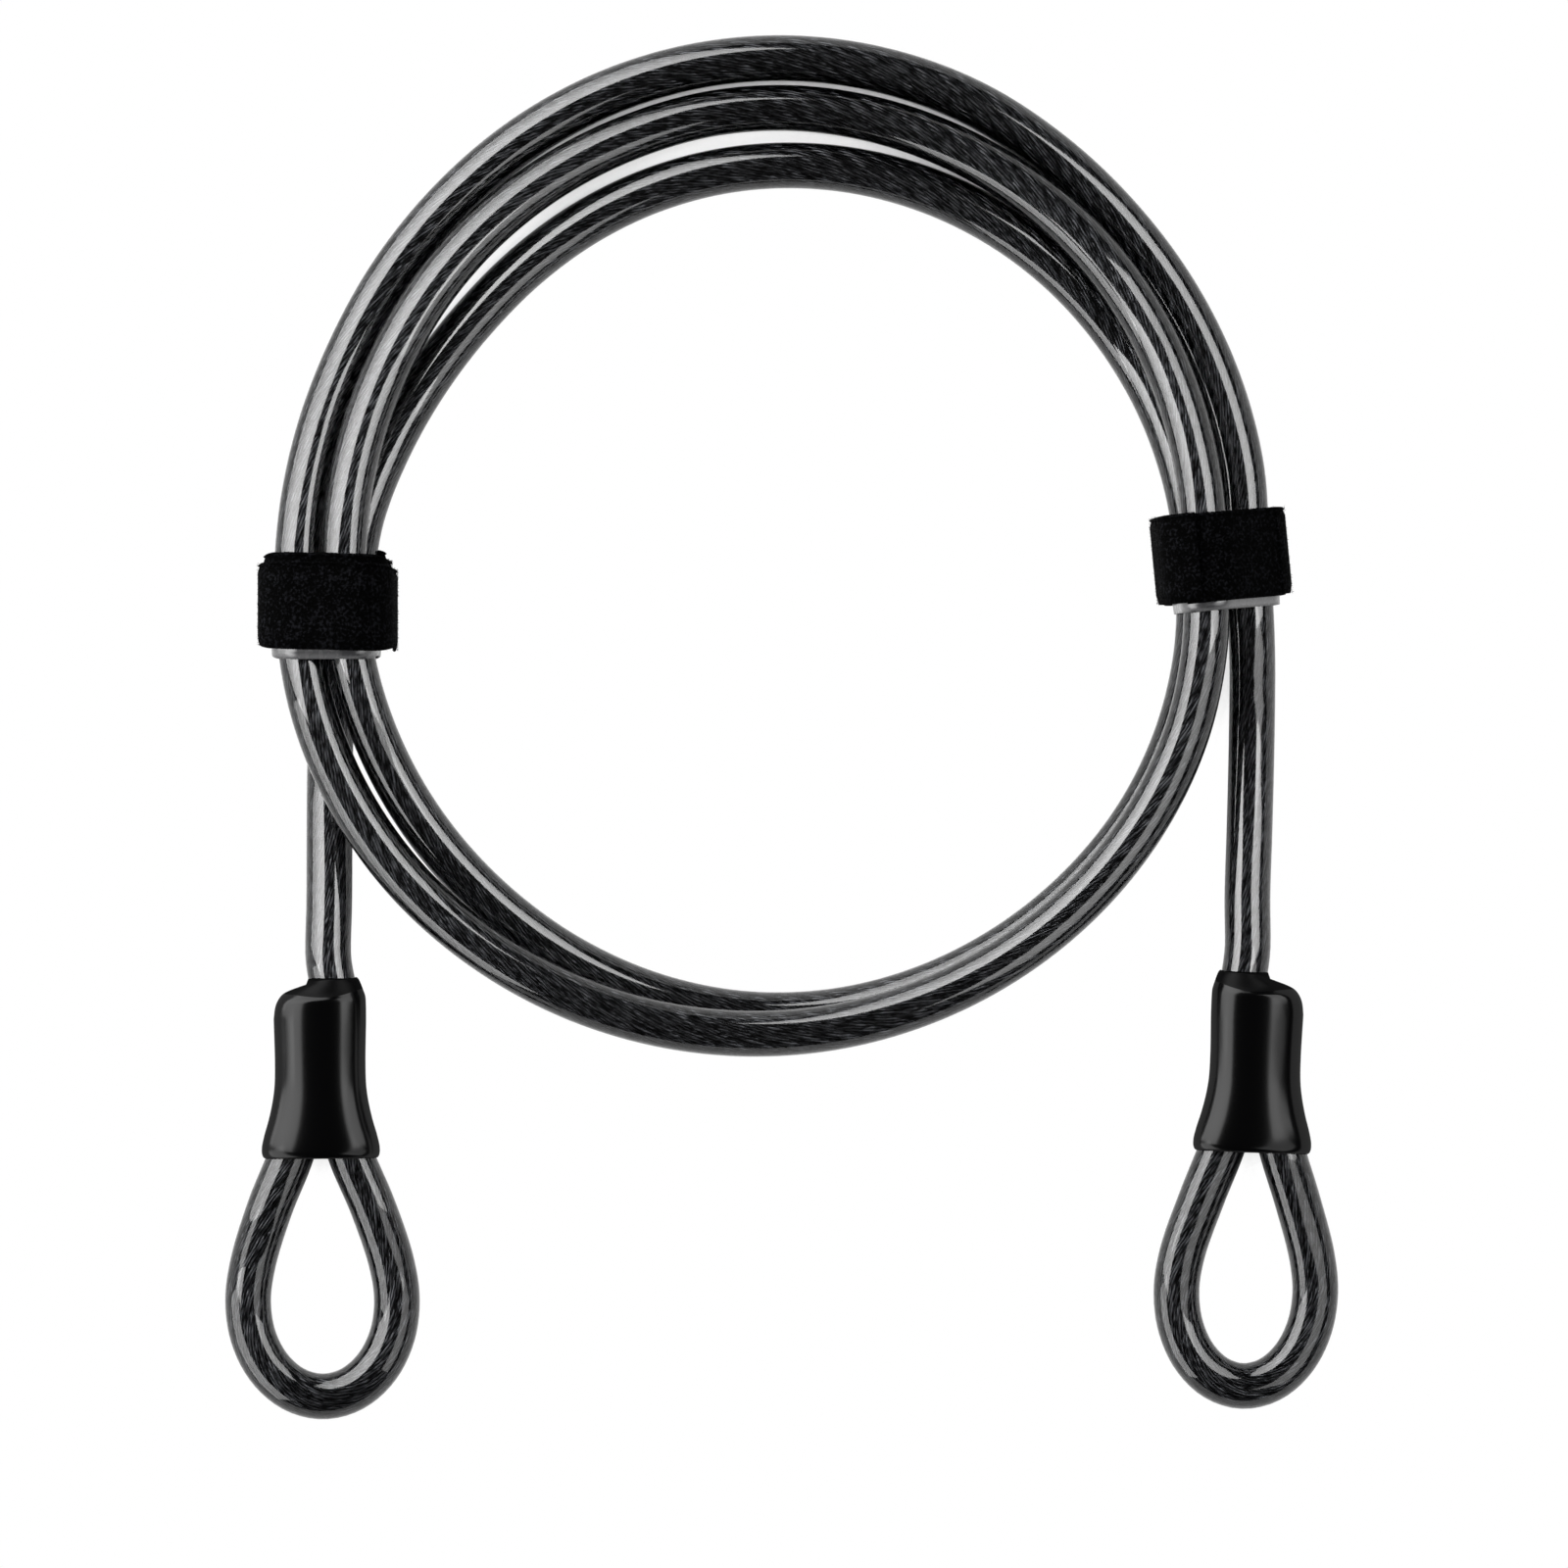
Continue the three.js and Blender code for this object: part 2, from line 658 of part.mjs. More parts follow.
const materials = {
  jacket: { color: 0x17181a, roughness: 0.18, metalness: 0 },
  rope: { color: 0x6e7073, roughness: 0.4, metalness: 0.9 },
  ferrule: { color: 0xb8babd, roughness: 0.35, metalness: 1 },
  sleeve: { color: 0x0b0b0c, roughness: 0.2, metalness: 0 },
  tape: { color: 0x0d0d0e, roughness: 0.95, metalness: 0 },
  band: { color: 0x85868a, roughness: 0.35, metalness: 0 },
};

function makeMesh(name, geometry, material) {
  const mesh = new THREE.Mesh(geometry, new THREE.MeshStandardMaterial(materials[material]));
  mesh.name = name;
  return mesh;
}

/** The ferrule, sleeve and eye at one end of the cable, in the terminal's own frame. */
function makeTerminal(name, terminal) {
  const group = new THREE.Group();
  const eye = eyeRoute(terminal);
  const bare = ferruleLength + bareLegs; // of rope above the jacket, on the live leg
  const steps = 28;
  group.add(
    makeMesh(`${name}_ferrule`, ferruleGeometry(), 'ferrule'),
    makeMesh(`${name}_sleeve`, sleeveGeometry(terminal), 'sleeve'),
    makeMesh(`${name}_eye_rope`, ropeGeometry(eye.between(0, eye.length, steps + 8)), 'rope'),
    makeMesh(`${name}_eye_jacket`, jacketGeometry(
      eye.between(ropeStub + bare, eye.length - bare, steps),
    ), 'jacket'),
  );
  group.position.set(terminal.x, terminal.y, 0);
  group.rotation.z = THREE.MathUtils.degToRad(terminal.lean);
  return group;
}

/** One strap round the bundle, in its own frame. */
function makeStrap(strap, route) {
  const group = new THREE.Group();
  group.name = `${strap.name}_strap`;
  const pieces = strapPieces(strap, route);
  group.add(
    makeMesh(`${strap.name}_strap_band`, pieces.band, 'band'),
    makeMesh(`${strap.name}_strap_tape`, pieces.tape, 'tape'),
    makeMesh(`${strap.name}_strap_free_end`, pieces.free_end, 'tape'),
  );
  group.position.set(strap.x, strap.y, 0);
  group.rotation.z = THREE.MathUtils.degToRad(strap.lean);
  return { group, hinge: new THREE.Vector3(pieces.hinge.x, 0, pieces.hinge.y) };
}

const group = new THREE.Group();
const { route, coilStart, coilEnd } = cableRoute();
const jacketStart = ropeStub + 2 * cutGap; // a tail's jacket clears the cut end beside it
const halfCut = cutGap / 2;
const stretches = [
  { name: 'left_tail', rope: cutGap, jacket: jacketStart, to: coilStart - halfCut, steps: 14 },
  { name: 'coil', rope: coilStart + halfCut, to: coilEnd - halfCut, steps: 102 },
  { name: 'right_tail', rope: route.length - cutGap, jacket: route.length - jacketStart,
    to: coilEnd + halfCut, steps: 14 },
];
for (const { name, rope, jacket = rope, to, steps } of stretches) {
  group.add(
    makeMesh(`${name}_rope`, ropeGeometry(route.between(rope, to, steps)), 'rope'),
    makeMesh(`${name}_jacket`, jacketGeometry(route.between(jacket, to, steps)), 'jacket'),
  );
}
const straps = [makeStrap(leftStrap, route), makeStrap(rightStrap, route)];
group.add(
  makeTerminal('left', leftTerminal),
  makeTerminal('right', rightTerminal),
  ...straps.map((strap) => strap.group),
);

// The origin is below the middle of everything.
const middle = new THREE.Box3().setFromObject(group, true).getCenter(new THREE.Vector3());
group.position.set(-middle.x, -middle.y, 0);
group.updateMatrixWorld();

const words = (point) => point.toArray().map((value) => value.toFixed(3)).join(' ');
console.log(`shift in plan: ${words(group.position)}`);
for (const strap of straps) {
  console.log(`${strap.group.name} hinge: ${words(strap.group.localToWorld(strap.hinge))}`);
}
console.log(`cable between the ferrules: ${(route.length / 1000).toFixed(3)} m`);
console.log(`least gap of the cable to itself: ${leastGap(route, 0, route.length).toFixed(2)} mm`);

export default group;
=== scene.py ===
"""Looks of a coiled double-loop security cable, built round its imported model.

The cable is a twisted steel rope in a clear smoke jacket. Each end is folded into an eye that a
crimped ferrule holds inside a moulded sleeve, and two hook-and-loop straps tie the coil. All
lengths are in metres.
"""

from __future__ import annotations

import logging
import math
from dataclasses import dataclass, field
from enum import Enum
from typing import Any, Mapping, Sequence

import bpy
import numpy as np
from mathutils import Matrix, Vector


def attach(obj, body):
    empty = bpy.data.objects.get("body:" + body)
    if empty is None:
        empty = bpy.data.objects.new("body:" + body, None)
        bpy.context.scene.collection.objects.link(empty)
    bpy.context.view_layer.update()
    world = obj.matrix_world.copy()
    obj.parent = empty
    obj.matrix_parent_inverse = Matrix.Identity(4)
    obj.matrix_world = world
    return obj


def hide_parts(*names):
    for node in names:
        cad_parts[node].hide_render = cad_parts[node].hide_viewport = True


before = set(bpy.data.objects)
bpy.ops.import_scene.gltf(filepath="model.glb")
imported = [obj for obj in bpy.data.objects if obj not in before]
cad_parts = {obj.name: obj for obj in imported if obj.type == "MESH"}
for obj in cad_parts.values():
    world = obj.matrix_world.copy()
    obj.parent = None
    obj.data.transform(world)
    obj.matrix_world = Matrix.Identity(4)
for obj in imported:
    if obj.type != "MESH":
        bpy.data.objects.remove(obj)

LOG = logging.getLogger("cable")
MM = 0.001
FULL_TURN = 2.0 * math.pi
SEED = 20
Points = np.ndarray
Colour = tuple[float, float, float]
Stations = Sequence[tuple[float, float]]


class Slot(Enum):
    """Material slots of the record."""

    JACKET = "jacket"
    ROPE = "rope"
    FERRULE = "ferrule"
    SLEEVE = "sleeve"
    TAPE = "tape"
    BAND = "band"


class Body(Enum):
    """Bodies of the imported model."""

    CABLE = "cable"
    LEFT_FLAP = "left_strap_flap"
    RIGHT_FLAP = "right_strap_flap"


# ---- Shader graphs -----------------------------------------------------------------------


class Wire:
    """One value in a shader graph. Maths on it adds the nodes that work it out."""

    def __init__(self, graph: Graph, socket: bpy.types.NodeSocket) -> None:
        """Wrap a node's output socket."""
        self.graph = graph
        self.socket = socket

    def _math(self, operation: str, *values: Any, clamp: bool = False) -> Wire:
        """Add a Math node.

        Args:
            operation: The node's operation.
            values: Wires or numbers, in the order of its sockets.
            clamp: Whether the result is kept within 0 to 1.

        Returns:
            The node's result.
        """
        sockets = dict(enumerate(values))
        return self.graph.add("ShaderNodeMath", sockets, operation=operation, use_clamp=clamp)

    def __add__(self, other: Any) -> Wire:
        """Sum."""
        return self._math("ADD", self, other)

    def __radd__(self, other: Any) -> Wire:
        """Sum, from the right."""
        return self._math("ADD", other, self)

    def __sub__(self, other: Any) -> Wire:
        """Difference."""
        return self._math("SUBTRACT", self, other)

    def __rsub__(self, other: Any) -> Wire:
        """Difference, from the right."""
        return self._math("SUBTRACT", other, self)

    def __mul__(self, other: Any) -> Wire:
        """Product."""
        return self._math("MULTIPLY", self, other)

    def __rmul__(self, other: Any) -> Wire:
        """Product, from the right."""
        return self._math("MULTIPLY", other, self)

    def __truediv__(self, other: Any) -> Wire:
        """Quotient."""
        return self._math("DIVIDE", self, other)

    def wave(self) -> Wire:
        """Sine of the value."""
        return self._math("SINE", self)

    def size(self) -> Wire:
        """The value without its sign."""
        return self._math("ABSOLUTE", self)

    def whole(self) -> Wire:
        """The whole number below the value."""
        return self._math("FLOOR", self)

    def clamped(self) -> Wire:
        """The value, kept within 0 to 1."""
        return self._math("ADD", self, 0.0, clamp=True)


class Graph:
    """The shader graph of one material."""

    def __init__(self, name: str) -> None:
        """Start a material with nothing but its output node."""
        self.material = bpy.data.materials.new(name)
        self.material.use_nodes = True
        self.tree = self.material.node_tree
        self.tree.nodes.clear()
        self.output = self.tree.nodes.new("ShaderNodeOutputMaterial")

    def add(
        self,
        kind: str,
        inputs: Mapping[Any, Any] | None = None,
        output: str | int = 0,
        **settings: Any,
    ) -> Wire:
        """Add a node.

        Args:
            kind: The node's type.
            inputs: Wires or values, by the socket's name or number.
            output: The name or number of the socket to give back.
            settings: The node's properties, which are set first.

        Returns:
            The wanted output.
        """
        node = self.tree.nodes.new(kind)
        for key, value in settings.items():
            setattr(node, key, value)
        for key, value in (inputs or {}).items():
            if isinstance(value, Wire):
                self.tree.links.new(value.socket, node.inputs[key])
            else:
                node.inputs[key].default_value = value
        return Wire(self, node.outputs[output])

    def mix_colours(self, share: Wire, first: Colour, second: Colour | Wire) -> Wire:
        """Mix two colours.

        Args:
            share: How much of the second, from 0 to 1.
            first: The first colour.
            second: The second colour.

        Returns:
            The mixed colour.
        """
        other = second if isinstance(second, Wire) else (*second, 1.0)
        sockets = {0: share, 6: (*first, 1.0), 7: other}
        return self.add("ShaderNodeMix", sockets, 2, data_type="RGBA")

    def noise(self, cells: float, detail: float, place: Wire | None = None) -> Wire:
        """Soft noise from 0 to 1.

        Args:
            cells: Cells for each unit of the coordinates.
            detail: How many finer layers it has.
            place: The coordinates, or None for the object's own.

        Returns:
            The noise's value.
        """
        place = place or self.add("ShaderNodeTexCoord", output="Object")
        sockets = {"Vector": place, "Scale": cells, "Detail": detail}
        return self.add("ShaderNodeTexNoise", sockets)

    def bump(self, height: Wire, depth: float) -> Wire:
        """A normal from a height, where a height of 1 is worth a depth in metres."""
        sockets = {"Height": height, "Distance": depth, "Strength": 1.0}
        return self.add("ShaderNodeBump", sockets)

    def finish(self, shader: Wire) -> bpy.types.Material:
        """Join a shader to the output and give the material back."""
        self.tree.links.new(shader.socket, self.output.inputs["Surface"])
        return self.material

    def principled(self, sockets: Mapping[str, Any]) -> bpy.types.Material:
        """Finish the material with one Principled shader, from its sockets by name."""
        return self.finish(self.add("ShaderNodeBsdfPrincipled", sockets))


# ---- Finishes ----------------------------------------------------------------------------


@dataclass(frozen=True)
class SmokeJacket:
    """Clear plastic with a grey tint, under a glossy skin that fades towards the rims."""

    name: str = "smoke_jacket"
    tint: Colour = (0.2, 0.203, 0.212)
    roughness: float = 0.03
    refraction: float = 1.5
    skin: float = 0.56
    skin_fade: float = 4.0
    skin_roughness: float = 0.1
    skin_refraction: float = 2.2

    def material(self) -> bpy.types.Material:
        """Build the material."""
        graph = Graph(self.name)
        tilt = graph.add("ShaderNodeLayerWeight", {"Blend": 0.5}, "Facing")
        return graph.principled(
            {
                "Base Color": (*self.tint, 1.0),
                "Roughness": self.roughness,
                "IOR": self.refraction,
                "Transmission Weight": 1.0,
                "Coat Weight": (1.0 - tilt * self.skin_fade).clamped() * self.skin,
                "Coat Roughness": self.skin_roughness,
                "Coat IOR": self.skin_refraction,
            }
        )


@dataclass(frozen=True)
class RopeSteel:
    """Dark steel wires that lie side by side in each strand of the rope.

    The drift is how many strand widths the wires cross in a metre. Each wire is cut up into
    dashes, and those with a grain above dash_floor get a painted glint in their colour. The
    colour also holds painted shade: it falls to the groove colour between the wires' crowns
    and at the seams between strands.
    """

    # The painted glint colour of the wires' dashes.
    glint_colour: Colour = (0.3, 0.305, 0.315)
    dull: Colour = (0.012, 0.012, 0.013)
    # Painted shade between the wires' crowns and at the seams between strands.
    groove: Colour = (0.004, 0.004, 0.0045)
    roughness: float = 0.3
    strands: int = 6
    wires: int = 6
    drift: float = 100.0
    dash: float = 2.6 * MM
    dash_floor: float = 0.4
    dash_contrast: float = 4.0
    dash_change: tuple[float, float] = (1.3, 9.1)
    seam_slope: float = 14.0
    seam_light: float = 0.3
    crown_gain: float = 1.6
    crown_loss: float = 0.1
    dash_relief: float = 0.6
    wire_depth: float = 0.1 * MM

    def material(self) -> bpy.types.Material:
        """Build the material from the strand's own length and angle."""
        graph = Graph("rope_steel")
        spread = graph.add("ShaderNodeUVMap", uv_map="along")
        along, around = (graph.add("ShaderNodeSeparateXYZ", {0: spread}, axis) for axis in "XY")
        strand = around * self.strands
        across = strand - strand.whole()
        phase = (across - along * self.drift) * self.wires
        crown = (phase * math.pi).wave().size()
        by_wire, by_strand = self.dash_change
        axes = {0: along / self.dash, 1: phase * by_wire, 2: strand.whole() * by_strand}
        grain = graph.noise(1.0, 3.0, graph.add("ShaderNodeCombineXYZ", axes))
        # Painted glints: dashes whose grain is above dash_floor take the glint colour in place
        # of the dull steel.
        glint_share = ((grain - self.dash_floor) * self.dash_contrast).clamped()
        metal = graph.mix_colours(glint_share, self.dull, self.glint_colour)
        # Painted shade: the colour falls to the groove colour between the wires' crowns and at
        # the seams between strands.
        seam = (1.0 - (across - 0.5).size() * 2.0) * self.seam_slope + self.seam_light
        lit = (crown * self.crown_gain - self.crown_loss).clamped() * seam.clamped()
        return graph.principled(
            {
                "Base Color": graph.mix_colours(lit, self.groove, metal),
                "Metallic": 1.0,
                "Roughness": self.roughness,
                "Normal": graph.bump(crown + grain * self.dash_relief, self.wire_depth),
            }
        )


@dataclass(frozen=True)
class PressedAluminium:
    """Dull metal of the crimped ferrules, with the fine marks of drawing and pressing."""

    light: Colour = (0.6, 0.61, 0.62)
    dark: Colour = (0.42, 0.43, 0.44)
    roughness: float = 0.38
    mark_cells: float = 900.0
    mark_depth: float = 0.05 * MM

    def material(self) -> bpy.types.Material:
        """Build the material."""
        graph = Graph("pressed_aluminium")
        marks = graph.noise(self.mark_cells, 3.0)
        return graph.principled(
            {
                "Base Color": graph.mix_colours(marks, self.light, self.dark),
                "Metallic": 1.0,
                "Roughness": self.roughness,
                "Normal": graph.bump(marks, self.mark_depth),
            }
        )


@dataclass(frozen=True)
class MouldedSleeve:
    """Glossy black moulded plastic with a faint unevenness: wide sinks and a fine grain."""

    name: str = "moulded_sleeve"
    dark: Colour = (0.0005, 0.0005, 0.0006)
    light: Colour = (0.001, 0.001, 0.0011)
    polish: float = 0.08
    gloss: float = 0.11
    gloss_roughness: float = 0.17
    gloss_refraction: float = 2.5
    sink_cells: float = 90.0
    grain_cells: float = 2600.0
    sink_depth: float = 0.3 * MM
    sink_dulls: float = 0.05
    grain_dulls: float = 0.06
    grain_relief: float = 0.02

    def material(self) -> bpy.types.Material:
        """Build the material."""
        graph = Graph(self.name)
        sink = graph.noise(self.sink_cells, 1.0)
        grain = graph.noise(self.grain_cells, 2.0)
        return graph.principled(
            {
                "Base Color": graph.mix_colours(grain, self.dark, self.light),
                "Roughness": self.polish + self.grain_dulls * grain + self.sink_dulls * sink,
                "Specular IOR Level": 0.0,
                "Coat Weight": self.gloss,
                "Coat Roughness": self.gloss_roughness,
                "Coat IOR": self.gloss_refraction,
                "Normal": graph.bump(sink + self.grain_relief * grain, self.sink_depth),
            }
        )


@dataclass(frozen=True)
class LoopPile:
    """Brushed black loops of the straps' outer face, gathered in tufts."""

    dark: Colour = (0.0002, 0.0002, 0.0002)
    light: Colour = (0.006, 0.0062, 0.0075)
    loop_cells: float = 1500.0
    tuft_cells: float = 380.0
    tuft_share: float = 0.25
    light_above: float = 0.5
    contrast: float = 6.0
    depth: float = 0.5 * MM

    def material(self) -> bpy.types.Material:
        """Build the material."""
        graph = Graph("loop_pile")
        loops, tufts = graph.noise(self.loop_cells, 3.0), graph.noise(self.tuft_cells, 2.0)
        height = (1.0 - self.tuft_share) * loops + self.tuft_share * tufts
        share = ((height - self.light_above) * self.contrast).clamped()
        return graph.principled(
            {
                "Base Color": graph.mix_colours(share, self.dark, self.light),
                "Roughness": 0.95,
                "Specular IOR Level": 0.02,
                "Normal": graph.bump(height, self.depth),
            }
        )


@dataclass(frozen=True)
class BandBacking:
    """Smooth backing of the band under each strap, with a fine grain."""

    dark: Colour = (0.02, 0.02, 0.022)
    light: Colour = (0.035, 0.035, 0.038)
    roughness: float = 0.22
    grain_dulls: float = 0.1
    grain_cells: float = 700.0
    grain_depth: float = 0.06 * MM

    def material(self) -> bpy.types.Material:
        """Build the material."""
        graph = Graph("band_backing")
        grain = graph.noise(self.grain_cells, 2.0)
        return graph.principled(
            {
                "Base Color": graph.mix_colours(grain, self.dark, self.light),
                "Roughness": self.roughness + self.grain_dulls * grain,
                "Coat Weight": 1.0,
                "Coat Roughness": 0.35,
                "Coat IOR": 1.8,
                "Normal": graph.bump(grain, self.grain_depth),
            }
        )


# ---- Meshes ------------------------------------------------------------------------------


def make_piece(
    name: str, points: Points, faces: list[list[int]], smooth: bool = True
) -> bpy.types.Object:
    """Make a mesh object.

    Args:
        name: The object's name.
        points: Corners, one a row.
        faces: Corner numbers of each face.
        smooth: Whether its faces are shaded smooth.

    Returns:
        The new object, in the scene.
    """
    mesh = bpy.data.meshes.new(name)
    mesh.from_pydata(points.tolist(), [], faces)
    mesh.polygons.foreach_set("use_smooth", [smooth] * len(mesh.polygons))
    mesh.validate()
    piece = bpy.data.objects.new(name, mesh)
    bpy.context.scene.collection.objects.link(piece)
    return piece


def ring_faces(rings: int, sides: int, closed: bool = False) -> Points:
    """Quads between rings of corners.

    Args:
        rings: How many rings there are.
        sides: Corners in each.
        closed: Whether the last ring joins the first.

    Returns:
        Corner numbers, one face a row.
    """
    ring = np.arange(rings if closed else rings - 1)
    here, there = (r[:, None] * sides for r in (ring, (ring + 1) % rings))
    side = np.arange(sides)[None, :]
    following = (side + 1) % sides
    quads = np.stack([here + side, here + following, there + following, there + side], axis=-1)
    return quads.reshape(-1, 4)


def loft(name: str, rings: Points, closed: bool = False) -> bpy.types.Object:
    """Skin a stack of rings, with a cap at each end unless it is closed on itself.

    Args:
        name: The object's name.
        rings: Corners, as ring by side by three.
        closed: Whether the last ring joins the first.

    Returns:
        The new object, whose faces look outward.
    """
    count, sides = rings.shape[:2]
    points = rings.reshape(-1, 3)
    quads = ring_faces(count, sides, closed)
    a, b, c, d = (points[quads[:, i]] for i in range(4))
    inside_out = np.sum(a * np.cross(b, c)) + np.sum(a * np.cross(c, d)) <= 0
    faces = (quads[:, ::-1] if inside_out else quads).tolist()
    if not closed:
        start, end = list(range(sides)), list(range((count - 1) * sides, count * sides))
        faces += [start, end[::-1]] if inside_out else [start[::-1], end]
    return make_piece(name, points, faces)


def unit(vectors: Points) -> Points:
    """The vectors, one a row, brought to a length of 1."""
    return vectors / np.linalg.norm(vectors, axis=1, keepdims=True)


def angles(sides: int) -> Points:
    """Even angles round a ring."""
    return np.arange(sides) * FULL_TURN / sides


def sample(at: Points, lengths: Points, values: Points) -> Points:
    """Values at new lengths, column by column, from those at the known lengths."""
    return np.stack([np.interp(at, lengths, column) for column in values.T], axis=-1)


def turned(x: Any, y: Any, degrees: float) -> tuple[Any, Any]:
    """A place or places in plan, turned about the origin."""
    cos, sin = math.cos(math.radians(degrees)), math.sin(math.radians(degrees))
    return x * cos - y * sin, x * sin + y * cos


@dataclass(frozen=True)
class Line:
    """A smooth line through space, measured along its length."""

    points: Points
    lengths: Points

    @staticmethod
    def through(points: Points) -> Line:
        """Make a line from close points."""
        steps = np.linalg.norm(np.diff(points, axis=0), axis=1)
        return Line(points, np.concatenate([[0.0], np.cumsum(steps)]))

    @property
    def length(self) -> float:
        """Length of the whole line."""
        return float(self.lengths[-1])

    def part(self, start: float, end: float, step: float) -> Line:
        """Points at even steps between two lengths.

        Args:
            start: Length where it starts.
            end: Length where it ends.
            step: The wanted distance between points.

        Returns:
            The part, as a line.
        """
        count = max(2, round(abs(end - start) / step) + 1)
        at = np.linspace(start, end, count)
        return Line.through(sample(at, self.lengths, self.points))

    def rings(self, reach: Points | float, angle: Points) -> Points:
        """Sections across the line.

        Args:
            reach: Distance of each corner from the line.
            angle: Angle of each corner from level, as ring by side.

        Returns:
            Corners, as ring by side by three.
        """
        ahead = unit(np.gradient(self.points, axis=0))
        side = unit(np.cross(ahead, [0.0, 0.0, 1.0]))
        rise = np.cross(side, ahead)
        level, up = np.cos(angle)[..., None], np.sin(angle)[..., None]
        away = level * side[:, None, :] + up * rise[:, None, :]
        return self.points[:, None, :] + np.reshape(reach, (1, -1, 1)) * away


# ---- The cable's route -------------------------------------------------------------------


def ease(share: Any) -> Any:
    """A share from 0 to 1 that starts and stops gently."""
    return (1.0 - np.cos(np.pi * np.clip(share, 0.0, 1.0))) / 2.0


def span_end(stations: Stations, x: float) -> int:
    """Number of the station that ends the span in which x lies."""
    return max(1, next((i for i, s in enumerate(stations) if s[0] >= x), 0))


def eased_value(stations: Stations, x: float) -> float:
    """The value at x, easing from each (place, value) to the next."""
    end = span_end(stations, x)
    (x0, v0), (x1, v1) = stations[end - 1], stations[end]
    return v0 + (v1 - v0) * float(ease((x - x0) / (x1 - x0)))


def smooth_value(stations: Stations, x: float) -> float:
    """The value of a smooth curve.

    Args:
        stations: The (place, value) pairs that it passes.
        x: The place.

    Returns:
        The value at x.
    """
    end = span_end(stations, x)

    def slope(i: int) -> float:
        """Slope of the curve at one station."""
        before, after = stations[max(i - 1, 0)], stations[min(i + 1, len(stations) - 1)]
        return (after[1] - before[1]) / (after[0] - before[0])

    (x0, v0), (x1, v1) = stations[end - 1], stations[end]
    u = min(max((x - x0) / (x1 - x0), 0.0), 1.0)
    ahead = slope(end - 1) * u * (1 - u) ** 2 - slope(end) * u * u * (1 - u)
    return v0 + (v1 - v0) * u * u * (3 - 2 * u) + (x1 - x0) * ahead


def smooth_line(points: Sequence[Sequence[float]], divisions: int = 16) -> Points:
    """A centripetal curve through points.

    Args:
        points: The points it passes.
        divisions: New points for each span.

    Returns:
        Close points on the curve.
    """
    knots = np.asarray(points, float)
    knots = np.vstack([2 * knots[0] - knots[1], knots, 2 * knots[-1] - knots[-2]])
    t = np.linspace(0.0, 1.0, divisions, endpoint=False)[:, None]
    parts = []
    for i in range(len(knots) - 3):
        p0, p1, p2, p3 = knots[i : i + 4]
        pairs = ((p0, p1), (p1, p2), (p2, p3))
        d0, d1, d2 = (math.sqrt(np.linalg.norm(b - a)) for a, b in pairs)
        m1 = ((p1 - p0) / d0 - (p2 - p0) / (d0 + d1) + (p2 - p1) / d1) * d1
        m2 = ((p2 - p1) / d1 - (p3 - p1) / (d1 + d2) + (p3 - p2) / d2) * d1
        c2 = -3 * p1 + 3 * p2 - 2 * m1 - m2
        c3 = 2 * p1 - 2 * p2 + m1 + m2
        parts.append(p1 + m1 * t + c2 * t**2 + c3 * t**3)
    return np.vstack([*parts, knots[-2]])


@dataclass(frozen=True)
class CableSizes:
    """Sizes that the whole cable shares."""

    diameter: float = 10.0 * MM
    jacket_wall: float = 1.4 * MM
    rope_gap: float = 0.3 * MM
    rest_flat: float = 1.0 * MM
    turn_gap: float = 0.6 * MM
    coil_radius: float = 93.6 * MM
    shift: tuple[float, float] = (-1.943 * MM, 39.307 * MM)

    @property
    def radius(self) -> float:
        """Radius of the jacket."""
        return self.diameter / 2

    @property
    def bore(self) -> float:
        """Radius of the jacket's bore."""
        return self.radius - self.jacket_wall

    @property
    def pitch(self) -> float:
        """Distance from one turn of the coil to the next."""
        return self.diameter + self.turn_gap

    @property
    def rest_height(self) -> float:
        """Height of the centreline where the cable lies on the floor."""
        return self.radius - self.rest_flat

    def beside(self, side: int, out: float, along: float) -> tuple[float, float]:
        """A place in plan, from the coil's centre.

        Args:
            side: -1 on the left and 1 on the right.
            out: Pitches out from the coil's radius.
            along: Radii up from the coil's centre.

        Returns:
            Its x and y.
        """
        return side * (self.coil_radius + self.pitch * out), self.coil_radius * along

    def placed(self, points: Points) -> Points:
        """Points moved from the coil's centre to the model's origin."""
        return points + np.array([*self.shift, 0.0])


CABLE = CableSizes()


